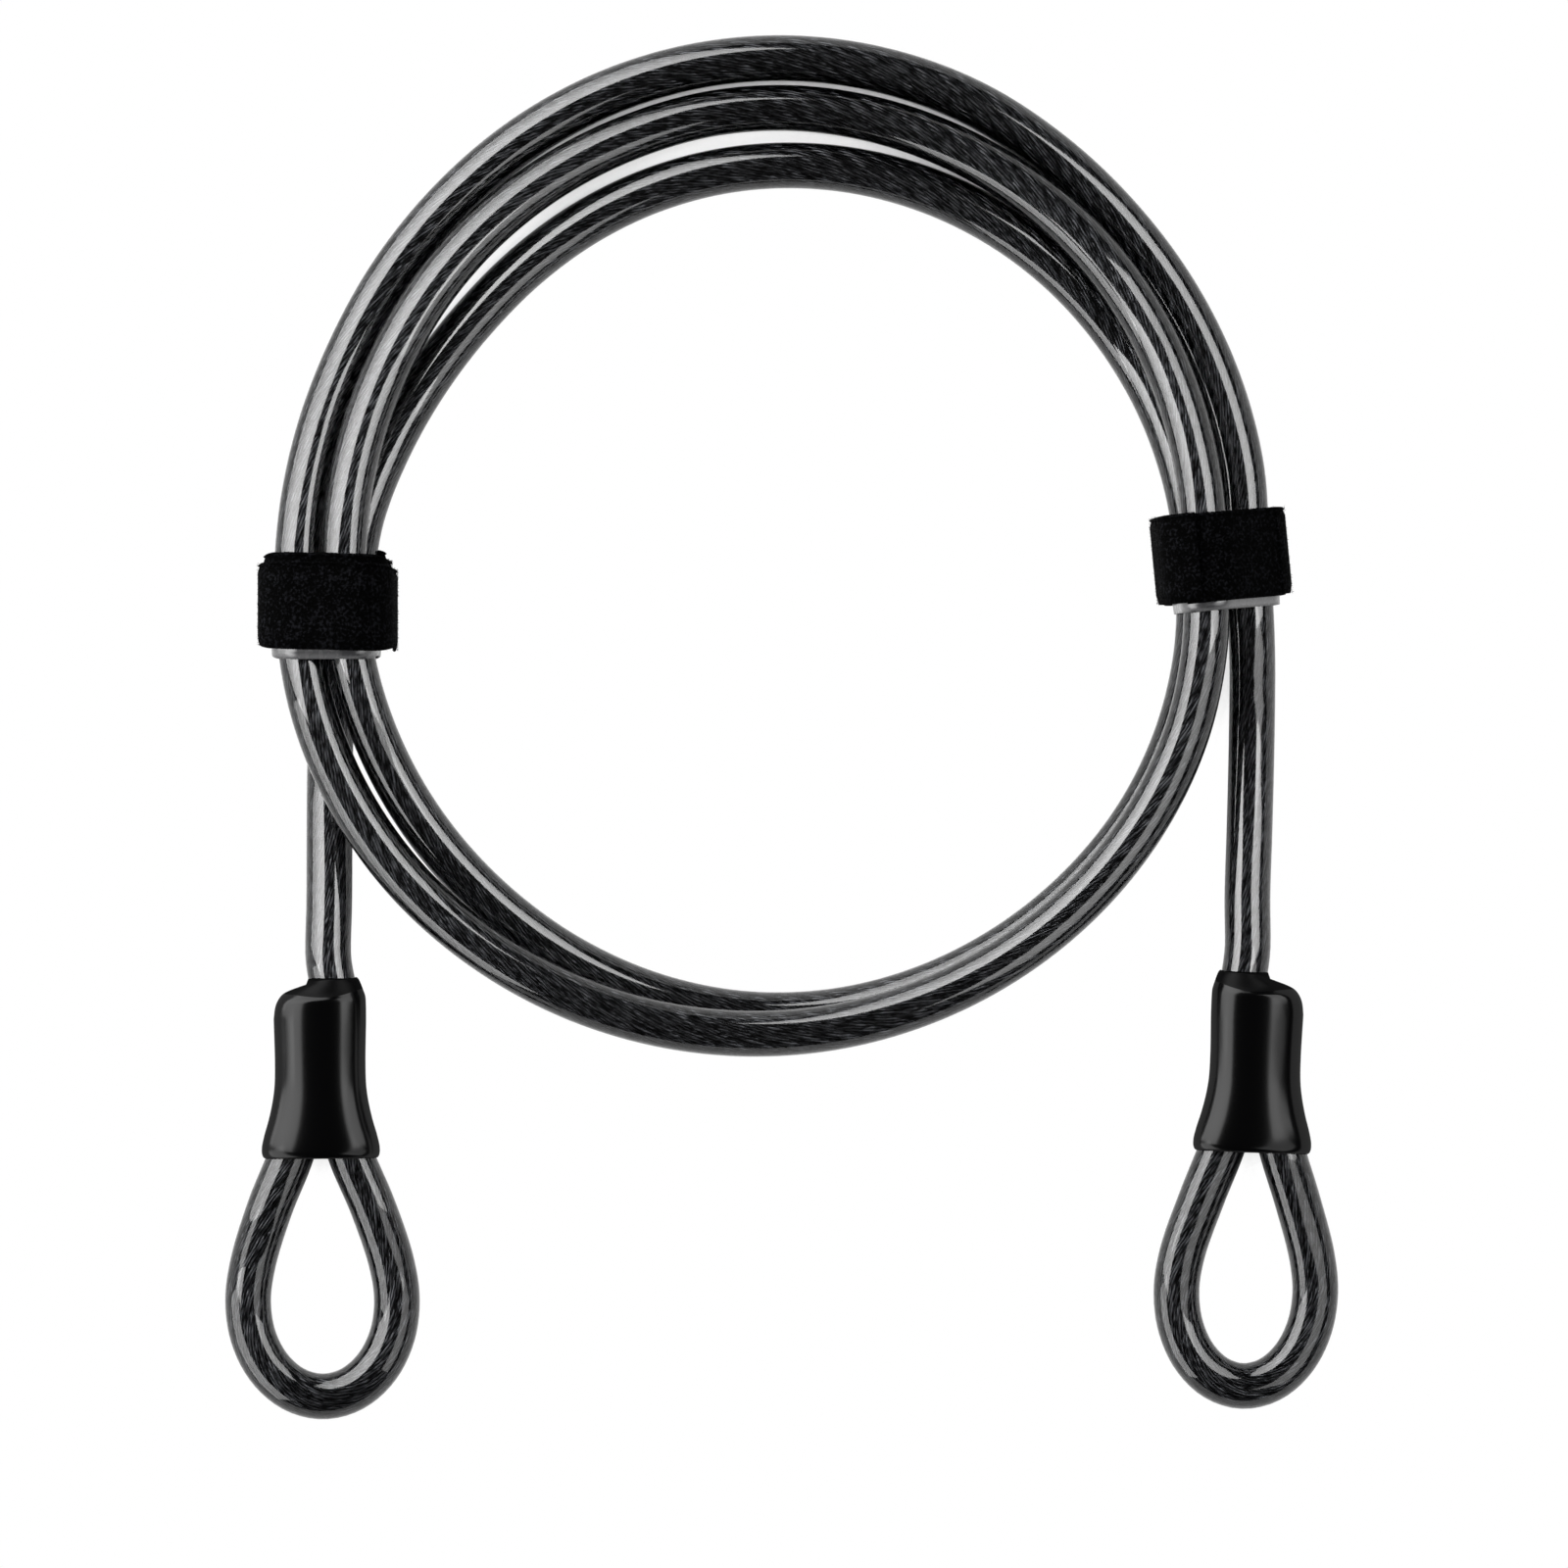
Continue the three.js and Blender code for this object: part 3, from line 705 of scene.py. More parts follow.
@dataclass(frozen=True)
class TerminalPlan:
    """Where one end's sleeve lies, and the size of its eye.

    The eye's swell gives (share of its half width, share of the way from the sleeve's mouth to
    its widest place). The bare legs spread apart from a share of their length.
    """

    name: str
    side: int
    out: float
    along: float
    lean: float
    hand: int
    eye_half_width: float
    eye_reach: float
    height: float = 7.1 * MM
    sleeve_length: float = 39.0 * MM
    ferrule_depth: float = 8.0 * MM
    ferrule_length: float = 17.0 * MM
    leg_offset: float = 3.75 * MM
    leg_spread: float = 0.9 * MM
    rope_stub: float = 1.2 * MM
    bare_legs: float = 10.0 * MM
    spread_at: float = 0.7
    eye_swell: Stations = ((0.69, 0.34), (0.936, 0.74), (1.0, 1.0))
    eye_round: float = 20.5 * MM
    eye_mouth: float = 6.75 * MM
    eye_fall: float = 28.0 * MM
    tail_offset: float = 1.85 * MM
    tail_swing: float = 6.0 * MM
    tail_fall: float = 34.0 * MM

    @property
    def place(self) -> tuple[float, float]:
        """Middle of the sleeve's top in plan, from the coil's centre."""
        return CABLE.beside(self.side, self.out, self.along)

    @property
    def ferrule_top(self) -> float:
        """The ferrule's upper end, below the sleeve's top."""
        return -self.ferrule_depth

    def point(self, x: float, y: float, z: float) -> list[float]:
        """A point of the sleeve's own plan, with its live leg at +x, from the coil's centre."""
        across, up = turned(x * self.hand, y, self.lean)
        return [self.place[0] + across, self.place[1] + up, z]

    def tail_across(self, y: float) -> float:
        """Distance of the tail from the sleeve's middle at y."""
        share = ease((self.tail_swing - y) / (self.tail_swing + self.ferrule_depth))
        return self.tail_offset + (self.leg_offset - self.tail_offset) * float(share)

    def eye_line(self) -> Line:
        """The rope's line in the eye, from the dead leg's cut end to the live leg."""
        bottom = self.ferrule_top - self.ferrule_length
        widest = self.eye_round - self.eye_reach
        leg = [
            (self.leg_offset, self.ferrule_top),
            (self.leg_offset, (self.ferrule_top + bottom) / 2),
            (self.leg_offset, bottom),
            (self.leg_offset + self.leg_spread, bottom - self.bare_legs * self.spread_at),
            (self.eye_mouth, -self.sleeve_length),
        ]
        for width, share in self.eye_swell:
            y = -self.sleeve_length + share * (widest + self.sleeve_length)
            leg.append((self.eye_half_width * width, y))
        for i in (1, 2, 3):
            angle = math.pi / 8 * i
            y = widest - self.eye_round * math.sin(angle)
            leg.append((self.eye_half_width * math.cos(angle), y))
        dead = [(-x, y) for x, y in leg]
        dead[0] = (dead[0][0], dead[0][1] + self.rope_stub)
        points = []
        for x, y in [*dead, (0.0, -self.eye_reach), *leg[::-1]]:
            share = float(ease((-self.sleeve_length - y) / self.eye_fall))
            height = self.height + (CABLE.rest_height - self.height) * share
            points.append(self.point(x, y, height))
        return Line.through(CABLE.placed(smooth_line(points)))


LEFT_END = TerminalPlan("left", -1, 0.453, -1.003, 0.4, 1, 16.2 * MM, 91.0 * MM)
RIGHT_END = TerminalPlan(
    "right", 1, 1.132, -0.989, -2.2, -1, 15.1 * MM, 90.1 * MM, tail_offset=2.6 * MM
)


@dataclass(frozen=True)
class CoilRoute:
    """The cable's way from the left ferrule, round the coil, to the right ferrule.

    The spread gives (eighths of a turn, pitches out from the coil's radius), the layers give
    (turns, pitches up), and the tails give pitches out, radii up and share of the straps' lift.
    """

    left_strap_turn: float = -0.0194
    right_strap_turn: float = 0.504
    whole_turns: int = 2
    strap_plateau: float = 0.028
    strap_fade: float = 0.064
    strap_lift: float = 4.9 * MM
    samples_per_turn: int = 32
    tail_samples: int = 5
    spread: Stations = (
        (-0.1552, -0.067), (0, -0.274), (0.5, -0.9), (1, -1.168), (2, -1.014), (3, -0.669),
        (4, -0.15), (4.5, 0.279), (5, 0.563), (6, 0.786), (7, 0.365), (8, -0.09), (8.5, -0.16),
        (9, -0.085), (9.5, 0.035), (10, 0.175), (11, 0.101), (12, -0.01), (12.5, 0.42),
        (13, 0.74), (14, 1.136), (15, 1.3), (15.5, 1.16), (16, 0.85), (16.5, 0.72), (17, 0.84),
        (17.5, 1.06), (18, 1.195), (18.5, 1.17), (19, 0.974), (20.032, 0.885),
    )
    layers: Stations = (
        (-0.02, 0), (0.76, 0), (0.955, 1), (1.04, 1), (1.25, 0), (1.26, 0), (1.44, 1.02),
        (1.9, 1.05), (2.14, 0), (2.505, 0),
    )
    left_tail: Sequence[tuple[float, float, float]] = (
        (0.264, -0.827, 0), (0.264, -0.677, 0), (0.255, -0.528, 0), (0.217, -0.389, 0.4),
        (0.113, -0.271, 1),
    )
    right_tail: Sequence[tuple[float, float, float]] = (
        (0.906, -0.816, 0), (0.953, -0.667, 0), (0.991, -0.506, 0), (1.009, -0.357, 0.2),
        (1, -0.261, 0.7), (0.962, -0.154, 1),
    )

    def lift_share(self, turn: float) -> float:
        """Share of the straps' lift at a place on the coil."""
        away = [turn - place for place in (self.left_strap_turn, self.right_strap_turn)]
        nearest = min(abs(t - math.floor(t + 0.5)) for t in away)
        return 1.0 - float(ease((nearest - self.strap_plateau) / self.strap_fade))

    def coil_point(self, turn: float) -> list[float]:
        """The centreline at a place on the coil.

        Args:
            turn: Turns from the coil's leftmost point.

        Returns:
            The point.
        """
        angle = math.pi * (1 - 2 * turn)
        radius = CABLE.coil_radius + CABLE.pitch * smooth_value(self.spread, turn * 8)
        height = CABLE.rest_height + CABLE.pitch * eased_value(self.layers, turn)
        height += self.strap_lift * self.lift_share(turn)
        return [radius * math.cos(angle), radius * math.sin(angle), height]

    def tail_points(
        self, end: TerminalPlan, places: Sequence[tuple[float, float, float]]
    ) -> list[list[float]]:
        """Points of a tail, from its ferrule to where its strap begins.

        Args:
            end: The terminal that it comes from.
            places: Pitches out, radii up and share of the straps' lift.

        Returns:
            The points.
        """
        low, high = CABLE.rest_height, end.height
        height = lambda y: low + (high - low) * float(ease(1 - y / end.tail_fall))
        points = []
        for i in range(self.tail_samples + 1):
            length = end.tail_swing + end.ferrule_depth
            y = end.ferrule_top + length * i / self.tail_samples
            points.append(end.point(end.tail_across(y), y, height(y)))
        for out, along, share in places:
            x, y = CABLE.beside(end.side, out, along)
            points.append([x, y, height(y - end.place[1]) + self.strap_lift * share])
        return points

    def line(self) -> Line:
        """The whole centreline, from the coil's centre."""
        turns = self.whole_turns + self.right_strap_turn - self.left_strap_turn
        count = round(turns * self.samples_per_turn)
        places = [self.left_strap_turn + turns * i / count for i in range(count + 1)]
        start = self.tail_points(LEFT_END, self.left_tail)
        finish = self.tail_points(RIGHT_END, self.right_tail)[::-1]
        return Line.through(smooth_line([*start, *map(self.coil_point, places), *finish]))


# ---- Cable pieces ------------------------------------------------------------------------


@dataclass
class Rope:
    """Twisted steel rope, whose strands are pressed into a round."""

    strands: int = 6
    lay: float = 36.0 * MM
    groove: float = 0.4 * MM
    groove_power: float = 2.2
    strand_sides: int = 8
    step: float = 1.25 * MM
    play: float = 0.1 * MM

    def build(self, name: str, line: Line) -> bpy.types.Object:
        """Build the rope along a line, as one skin that twists with its strands.

        Args:
            name: The object's name.
            line: The rope's centreline.

        Returns:
            The rope.
        """
        middle = line.part(0.0, line.length, self.step)
        sides = self.strands * self.strand_sides
        share = np.arange(sides) / sides
        across = np.abs(2.0 * (share * self.strands % 1.0) - 1.0)
        reach = CABLE.bore - self.play - self.groove * across**self.groove_power
        angle = FULL_TURN * (share[None, :] - middle.lengths[:, None] / self.lay)
        piece = loft(name, middle.rings(reach, angle))
        self._spread(piece, middle.lengths, sides)
        return piece

    @staticmethod
    def _spread(piece: bpy.types.Object, lengths: Points, sides: int) -> None:
        """Store each face corner's length along the rope and turn round it.

        Args:
            piece: The rope.
            lengths: Length at each ring.
            sides: Corners of each ring.
        """
        mesh = piece.data
        corners = np.zeros(len(mesh.loops), np.int32)
        mesh.loops.foreach_get("vertex_index", corners)
        values = np.stack([lengths[corners // sides], corners % sides / sides], axis=-1)
        on_quads = (len(lengths) - 1) * sides * 4
        turns = values[:on_quads, 1].reshape(-1, 4)
        wrapped = (turns.max(axis=1) - turns.min(axis=1)) > 0.5
        turns[wrapped] = np.where(turns[wrapped] < 0.5, turns[wrapped] + 1.0, turns[wrapped])
        values[:on_quads, 1] = turns.reshape(-1)
        layer = mesh.uv_layers.new(name="along")
        layer.data.foreach_set("uv", values.astype(np.float32).reshape(-1))


@dataclass
class Jacket:
    """Smooth plastic skin round the rope, flat where it meets the floor."""

    step: float
    sides: int = 32
    clearance: float = 0.02 * MM

    def build(self, name: str, line: Line) -> bpy.types.Object:
        """Build the skin along a line.

        Args:
            name: The object's name.
            line: The cable's centreline.

        Returns:
            The jacket.
        """
        even = line.part(0.0, line.length, self.step)
        rings = even.rings(CABLE.radius, angles(self.sides)[None, :])
        rings[..., 2] = np.maximum(rings[..., 2], self.clearance)
        return loft(name, rings)


# ---- Terminals ---------------------------------------------------------------------------


@dataclass
class Sleeve:
    """Bell-shaped moulded cover of one end.

    The outline gives (place along it, half width, half thickness). The shoulder gives (share of
    the way in to the tail, height) on the side far from the tail, on the side by it and on the
    flat faces. Their lengths are in millimetres.
    """

    plan: TerminalPlan
    outline: Sequence[tuple[float, float, float]] = (
        (-37.4, 12.85, 7.05), (-36.3, 12.78, 7.08), (-33.8, 12.2, 7.05), (-30.7, 11.3, 6.95),
        (-26.6, 10.4, 6.8), (-23.0, 9.95, 6.7), (-18.0, 9.85, 6.66), (-12.9, 9.95, 6.68),
        (-8.8, 10.05, 6.7), (-6.0, 10.0, 6.7), (0.0, 9.9, 6.7),
    )
    shoulder: Sequence[tuple[float, ...]] = (
        (0.0, -8.8, 0.0, -6.6, 0.0, -7.7), (0.035, -6.6, 0.015, -5.2, 0.0, -5.9),
        (0.107, -4.95, 0.06, -3.9, 0.03, -4.8), (0.244, -3.5, 0.27, -2.5, 0.24, -4.15),
        (0.45, -2.6, 0.56, -0.8, 0.47, -3.3), (0.72, -1.85, 0.76, 0.0, 0.7, -1.8),
        (0.93, -1.3, 0.93, 0.25, 0.93, -0.5),
    )
    wall: float = 1.0 * MM
    mouth_wall: float = 0.65 * MM
    neck_gap: float = 0.12 * MM
    neck_rise: float = 0.1 * MM
    lip: float = 1.6 * MM
    lip_inset: float = 0.72 * MM
    under_shoulder: float = 0.4 * MM
    squareness: float = 2.1
    inner_squareness: float = 2.25
    flat_power: float = 3.0
    sides: int = 72
    lip_steps: int = 6
    body_steps: tuple[int, int] = (30, 12)
    shoulder_steps: tuple[int, int] = (22, 8)
    hood_rings: tuple[int, int] = (49, 62)

    def ring(
        self, y: float, width: float, thickness: float, squareness: float, offset: float = 0.0
    ) -> Points:
        """One rounded oblong section.

        Args:
            y: Place along the sleeve.
            width: Half width.
            thickness: Half thickness.
            squareness: 2 is an ellipse, and higher is squarer.
            offset: Distance of its middle from the sleeve's.

        Returns:
            Corners from the coil's centre.
        """
        angle = angles(self.sides)
        bend = lambda v: np.sign(v) * np.abs(v) ** (2 / squareness)
        xs = offset + width * bend(np.cos(angle))
        zs = self.plan.height + thickness * bend(np.sin(angle))
        return np.array([self.plan.point(x * self.plan.hand, y, z) for x, z in zip(xs, zs)])

    def size(self, y: float) -> tuple[float, float]:
        """Half width and half thickness at y."""
        tables = ([(row[0], row[column]) for row in self.outline] for column in (1, 2))
        width, thickness = (smooth_value(table, y / MM) * MM for table in tables)
        return width, thickness

    def body(self, y: float, inside: float) -> Points:
        """The ring at y, brought in by a distance."""
        width, thickness = self.size(y)
        square = self.inner_squareness if inside > 0 else self.squareness
        return self.ring(y, width - inside, thickness - inside, square)

    def shoulder_rings(self, neck: Points, inside: float, count: int) -> list[Points]:
        """Rings over the shoulder, from the body to the tail.

        Args:
            neck: The ring round the tail, at the sleeve's top.
            inside: How far the rings are brought in.
            count: How many rings there are.

        Returns:
            The rings.
        """
        start = self.body(self.shoulder[0][1] * MM, inside)
        start = start + self._along(-self.shoulder[0][1] * MM)
        angle = angles(self.sides)
        near = ((1.0 + np.cos(angle) * self.plan.hand) / 2.0)[:, None]
        flat = (np.abs(np.sin(angle)) ** self.flat_power)[:, None]

        def blend(far: float, close: float, face: float) -> Points:
            """A value round the ring, from those on its three sides."""
            value = far + (close - far) * near
            return value + (face - value) * flat

        columns = [[(k, row[j]) for k, row in enumerate(self.shoulder)] for j in range(6)]
        rings = []
        for i in range(count):
            values = [smooth_value(c, i / (count - 1) * (len(c) - 1)) for c in columns]
            way_in = (neck - start) * blend(*values[::2])
            rise = blend(*values[1::2]) * MM - inside
            rings.append(start + way_in + self._along(1.0) * rise)
        return rings

    def _along(self, distance: float) -> Points:
        """A step towards the sleeve's top."""
        return np.array([*turned(0.0, distance, self.plan.lean), 0.0])

    def build(self) -> bpy.types.Object:
        """Build the sleeve, with a rolled lip at its mouth and a hole for the tail."""
        offset = self.plan.hand * self.plan.tail_across(-self.wall / 2)
        hole = CABLE.radius + self.neck_gap
        neck = self.ring(0.0, hole, hole, 2.0, offset)
        start = self.lip - self.plan.sleeve_length
        rise = self.shoulder[0][1] * MM - self.under_shoulder - start
        width, thickness = self.size(start)
        lips = []
        for i in range(self.lip_steps + 1):
            angle = math.pi / 2 * i / self.lip_steps
            inset = self.lip_inset * (1 - math.sin(angle))
            y = start - self.lip * math.cos(angle)
            lips.append(self.ring(y, width - inset, thickness - inset, self.squareness))
        out, back = self.body_steps
        outside = [self.body(start + rise * i / out, 0.0) for i in range(1, out + 1)]
        outside += self.shoulder_rings(neck, 0.0, self.shoulder_steps[0])
        inside = [self.body(start + rise * i / back, self.mouth_wall) for i in range(back)]
        inside += self.shoulder_rings(neck, self.wall, self.shoulder_steps[1])
        mouth = self.ring(
            start - self.lip, width - self.mouth_wall, thickness - self.mouth_wall,
            self.inner_squareness,
        )
        rings = [mouth, *lips, *outside, neck + self._along(self.neck_rise), *inside[::-1]]
        name = f"{self.plan.name}_sleeve_skin"
        return loft(name, CABLE.placed(np.array(rings)), closed=True)

    def dress_hood(self, piece: bpy.types.Object, satin: bpy.types.Material) -> None:
        """Give the hood above the shoulder its own finish.

        Args:
            piece: The sleeve.
            satin: The hood's finish.
        """
        first, last = (ring * self.sides for ring in self.hood_rings)
        piece.data.materials.append(satin)
        for face in piece.data.polygons[first:last]:
            face.material_index = 1


# ---- Straps ------------------------------------------------------------------------------


@dataclass(frozen=True)
class WindPlace:
    """A place of a taut winding: its corner of the bundle, its normal and the length so far."""

    corner: Points
    out: Points
    wound: float
    angle: float


@dataclass(frozen=True)
class Winding:
    """Wound tape: its places, and at each how far out and how far along the bundle it lies."""

    places: Sequence[WindPlace]
    offsets: Sequence[float]
    shifts: Sequence[float]


@dataclass(frozen=True)
class StrapPlan:
    """Where one strap lies, and how its tape is wound."""

    name: str
    side: int
    out: float
    along: float
    lean: float
    drift: float
    root: float
    tip: float
    body: Body
    tape_width: float = 19.0 * MM
    tape_thickness: float = 0.9 * MM
    tape_gap: float = 0.3 * MM
    band_width: float = 19.0 * MM
    band_thickness: float = 0.3 * MM
    band_show: float = 2.0 * MM
    band_opening: float = 3.0 * MM
    clearance: float = 0.3 * MM
    tape_turns: float = 2.05
    balance: float = 0.5
    edge_tuck: float = 0.015

    @property
    def place(self) -> tuple[float, float]:
        """Middle of the strap in plan, from the coil's centre."""
        return CABLE.beside(self.side, self.out, self.along)

    @property
    def band_offset(self) -> float:
        """Distance of the band's inner face from the strands' centres."""
        return CABLE.radius + self.clearance

    @property
    def tape_offset(self) -> float:
        """Distance of the tape's first inner face from the strands' centres."""
        return self.band_offset + self.band_thickness + self.tape_gap

    @property
    def tape_pitch(self) -> float:
        """Distance from one turn of tape to the next."""
        return self.tape_thickness + self.tape_gap

    @property
    def band_drop(self) -> float:
        """How far the band's middle lies below the strap's."""
        return self.band_show + abs(self.drift) * self.tape_turns * (1.0 - self.balance) / 2


LEFT_STRAP = StrapPlan(
    "left", -1, 0.293, -0.1325, 0.0, -1.95 * MM, 60.0, -20.0, Body.LEFT_FLAP,
    balance=0.6, edge_tuck=0.08,
)
RIGHT_STRAP = StrapPlan(
    "right", 1, 0.491, -0.023, 5.5, 0.3 * MM, 170.0, 96.0, Body.RIGHT_FLAP
)


@dataclass
class Strap:
    """Hook-and-loop strap: a band round the bundle, the tape wound on it and its free end."""

    plan: StrapPlan
    route: Line
    bundle_reach: float = 30.0 * MM
    arc_step: float = FULL_TURN / 72
    span_step: float = 1.5 * MM
    least_step: float = 0.02 * MM
    floor_gap: float = 0.04 * MM
    corner_share: float = 0.42
    corner_most: float = 0.35 * MM
    tuck_power: int = 6
    pile_length: float = 0.5 * MM
    pile_half_width: float = 0.03 * MM
    pile_root: float = 0.1 * MM
    pile_per_square: float = 5.0
    pile_edge: float = 0.46
    pile_lean: float = 0.75
    pile_curl: float = 0.6
    pile_stem: float = 0.55
    hull: list[Points] = field(default_factory=list)

    def __post_init__(self) -> None:
        """Find the bundle that the strap goes round."""
        self.hull = self._hull(self._bundle())

    def _bundle(self) -> list[tuple[float, float]]:
        """Centres of the cable where it passes through, in the strap's own frame."""
        moved = self.route.points - np.array([*self.plan.place, 0.0])
        xs, ys = turned(moved[:, 0], moved[:, 1], -self.plan.lean)
        zs = moved[:, 2]
        low = self.plan.band_width / 2 + self.plan.band_drop
        centres = []
        for level in (-low, 0.0, low):
            for i in range(1, len(xs)):
                before, after = ys[i - 1] - level, ys[i] - level
                crosses = before * after <= 0 and before != after
                if crosses and abs(xs[i]) < self.bundle_reach:
                    share = -before / (after - before)
                    x, z = (v[i - 1] + share * (v[i] - v[i - 1]) for v in (xs, zs))
                    centres.append((x, z))
        return centres

    @staticmethod
    def _hull(centres: Sequence[tuple[float, float]]) -> list[Points]:
        """Find the tightest loop round some centres.

        Args:
            centres: The centres.

        Returns:
            The loop's corners, clockwise.
        """
        ordered = sorted(centres)

        def half(listed: Sequence[tuple[float, float]]) -> list[tuple[float, float]]:
            """Corners on one side of the loop."""
            chain: list[tuple[float, float]] = []
            for point in listed:
                while len(chain) > 1:
                    (ax, ay), (bx, by) = chain[-2:]
                    if (bx - ax) * (point[1] - ay) - (by - ay) * (point[0] - ax) < 0:
                        break
                    chain.pop()
                chain.append(point)
            return chain

        top, bottom = half(ordered), half(ordered[::-1])
        return [np.array(p) for p in top[:-1] + bottom[:-1]]

    def wind(self, start: float, end: float) -> list[WindPlace]:
        """Places along a taut loop, clockwise between two angles of its normal.

        Args:
            start: Angle where it starts.
            end: Angle where it ends, which is lower.

        Returns:
            The places.
        """
        marks: list[tuple[float, Points | None]] = [(start, None), (end, None)]
        k = math.ceil(end / self.arc_step)
        while k * self.arc_step < start:
            if k * self.arc_step > end:
                marks.append((k * self.arc_step, None))
            k += 1
        for corner, following in zip(self.hull, self.hull[1:] + self.hull[:1]):
            normal = math.atan2(following[0] - corner[0], corner[1] - following[1])
            angle = normal + 8 * FULL_TURN
            while angle > end:
                if angle < start:
                    marks += [(angle + 1e-6, corner), (angle - 1e-6, following)]
                angle -= FULL_TURN
        marks.sort(key=lambda mark: -mark[0])
        places: list[WindPlace] = []
        wound, last = 0.0, None
        for angle, corner in marks:
            out = np.array([math.cos(angle), math.sin(angle)])
            if corner is None:
                corner = max(self.hull, key=lambda c: c[0] * out[0] + c[1] * out[1])
            base = corner + out * self.plan.tape_offset
            step = 0.0 if last is None else float(np.linalg.norm(base - last))
            parts = max(1, round(step / self.span_step))
            for i in range(1, parts):
                between = places[-1].corner + (corner - places[-1].corner) * i / parts
                places.append(WindPlace(between, out, wound + step * i / parts, angle))
            wound += step
            if last is None or step > self.least_step:
                places.append(WindPlace(corner, out, wound, angle))
                last = base
        return places

    def _to_model(self, points: Points) -> Points:
        """Move points to the model's frame.

        Args:
            points: Points in the strap's own frame.

        Returns:
            The points, none of them below the floor.
        """
        x, y = turned(points[..., 0], points[..., 1], self.plan.lean)
        z = np.maximum(points[..., 2], self.floor_gap)
        moved = np.stack([x, y, z], axis=-1)
        return CABLE.placed(moved + np.array([*self.plan.place, 0.0]))

    def _section(self, thickness: float, width: float) -> Points:
        """Round the edges of flat tape.

        Args:
            thickness: The tape's thickness.
            width: Its width.

        Returns:
            (Height, across) pairs round its section.
        """
        corner = min(self.corner_share * thickness, self.corner_most)
        near, far = corner - width / 2, width / 2 - corner
        top = thickness - corner
        middles = ((corner, near), (corner, far), (top, far), (top, near))
        pairs: list[tuple[float, float]] = []
        for (high, across), start in zip(middles, (180, 90, 0, -90)):
            for i in range(4):
                x, y = turned(corner, 0.0, start - 30 * i)
                pairs.append((high + x, across + y))
        flat = np.linspace(near, far, 12)[1:-1]
        inner = [(0.0, v) for v in flat]
        outer = [(thickness, v) for v in flat[::-1]]
        return np.array(pairs[:4] + inner + pairs[4:12] + outer + pairs[12:])

    def _tuck(self, place: WindPlace) -> float:
        """Share of its width that the tape loses where it turns round the bundle's side."""
        return self.plan.edge_tuck * abs(float(place.out[0])) ** self.tuck_power

    def tape(
        self, name: str, winding: Winding, thickness: float, width: float
    ) -> bpy.types.Object:
        """Build flat tape.

        Args:
            name: The object's name.
            winding: The tape's way.
            thickness: Its thickness.
            width: Its width.

        Returns:
            The tape.
        """
        section = self._section(thickness, width)
        rings = []
        for place, offset, shift in zip(winding.places, winding.offsets, winding.shifts):
            height = offset + section[:, 0]
            flat = place.corner[None, :] + height[:, None] * place.out[None, :]
            along = shift + section[:, 1] * (1.0 - self._tuck(place))
            rings.append(np.stack([flat[:, 0], along, flat[:, 1]], axis=-1))
        return loft(name, self._to_model(np.array(rings)))

    def pile(self, name: str, winding: Winding, seed: int) -> bpy.types.Object:
        """Grow short bent fibres out of the tape's outer face and edges.

        Args:
            name: The object's name.
            winding: The tape's way.
            seed: Seed of the fibres' places.

        Returns:
            The fibres, as one mesh.
        """
        rng = np.random.default_rng(seed)
        plan, places = self.plan, winding.places
        table = np.array([[*p.corner, *p.out, 1.0 - self._tuck(p)] for p in places])
        table = np.column_stack([table, winding.offsets, winding.shifts])
        wound = np.array([p.wound for p in places])
        area = (wound[-1] - wound[0]) * plan.tape_width / MM**2
        count = int(area * self.pile_per_square)
        at = rng.uniform(wound[0], wound[-1], count)
        found = sample(at, wound, table)
        corner, out = found[:, :2], unit(found[:, 2:4])
        width, offset, shift = found[:, 4:].T
        across = rng.uniform(-0.5, 0.5, count) * plan.tape_width * width
        edge = np.abs(across) > self.pile_edge * plan.tape_width
        root = corner + out * (offset + plan.tape_thickness - self.pile_root)[:, None]
        roots = np.stack([root[:, 0], shift + across, root[:, 1]], axis=-1)
        lean = rng.normal(0.0, self.pile_lean, (count, 3))
        lean[edge, 1] += np.sign(across[edge])
        ahead = unit(np.stack([out[:, 0], np.zeros(count), out[:, 1]], axis=-1) + lean)
        curl = unit(rng.normal(0.0, self.pile_curl, (count, 3)) + ahead)
        length = self.pile_length * rng.uniform(0.5, 1.15, count)[:, None]
        side = unit(np.cross(ahead, rng.normal(0.0, 1.0, (count, 3)))) * self.pile_half_width
        middle = roots + ahead * length * self.pile_stem
        tip = middle + curl * length * (1.0 - self.pile_stem)
        corners = [roots - side, roots + side, middle + side, middle - side, tip]
        first = (np.arange(count) * 5)[:, None]
        stems, tips = ((first + face).tolist() for face in ([0, 1, 2, 3], [3, 2, 4]))
        points = self._to_model(np.stack(corners, axis=1)).reshape(-1, 3)
        return make_piece(name, points, stems + tips)

    def build(self) -> dict[str, bpy.types.Object]:
        """Build the band, the wound tape, the free end and their pile, by name."""
        plan = self.plan
        perimeter = self.wind(0.0, -FULL_TURN)[-1].wound
        tip, root = math.radians(plan.tip), math.radians(plan.root)
        start = tip + 2 * FULL_TURN
        extra = (plan.tape_turns - 2) * perimeter
        early = self.wind(start + FULL_TURN, start)
        begin = next(p.angle for p in early if early[-1].wound - p.wound < extra)

        def wound(places: Sequence[WindPlace]) -> Winding:
            """Lay tape along places, one pitch further out and one drift along at each turn."""
            turns = [p.wound / perimeter for p in places]
            offsets = [plan.tape_offset + plan.tape_pitch * t for t in turns]
            shifts = [plan.drift * (t - plan.tape_turns * plan.balance) for t in turns]
            return Winding(places, offsets, shifts)

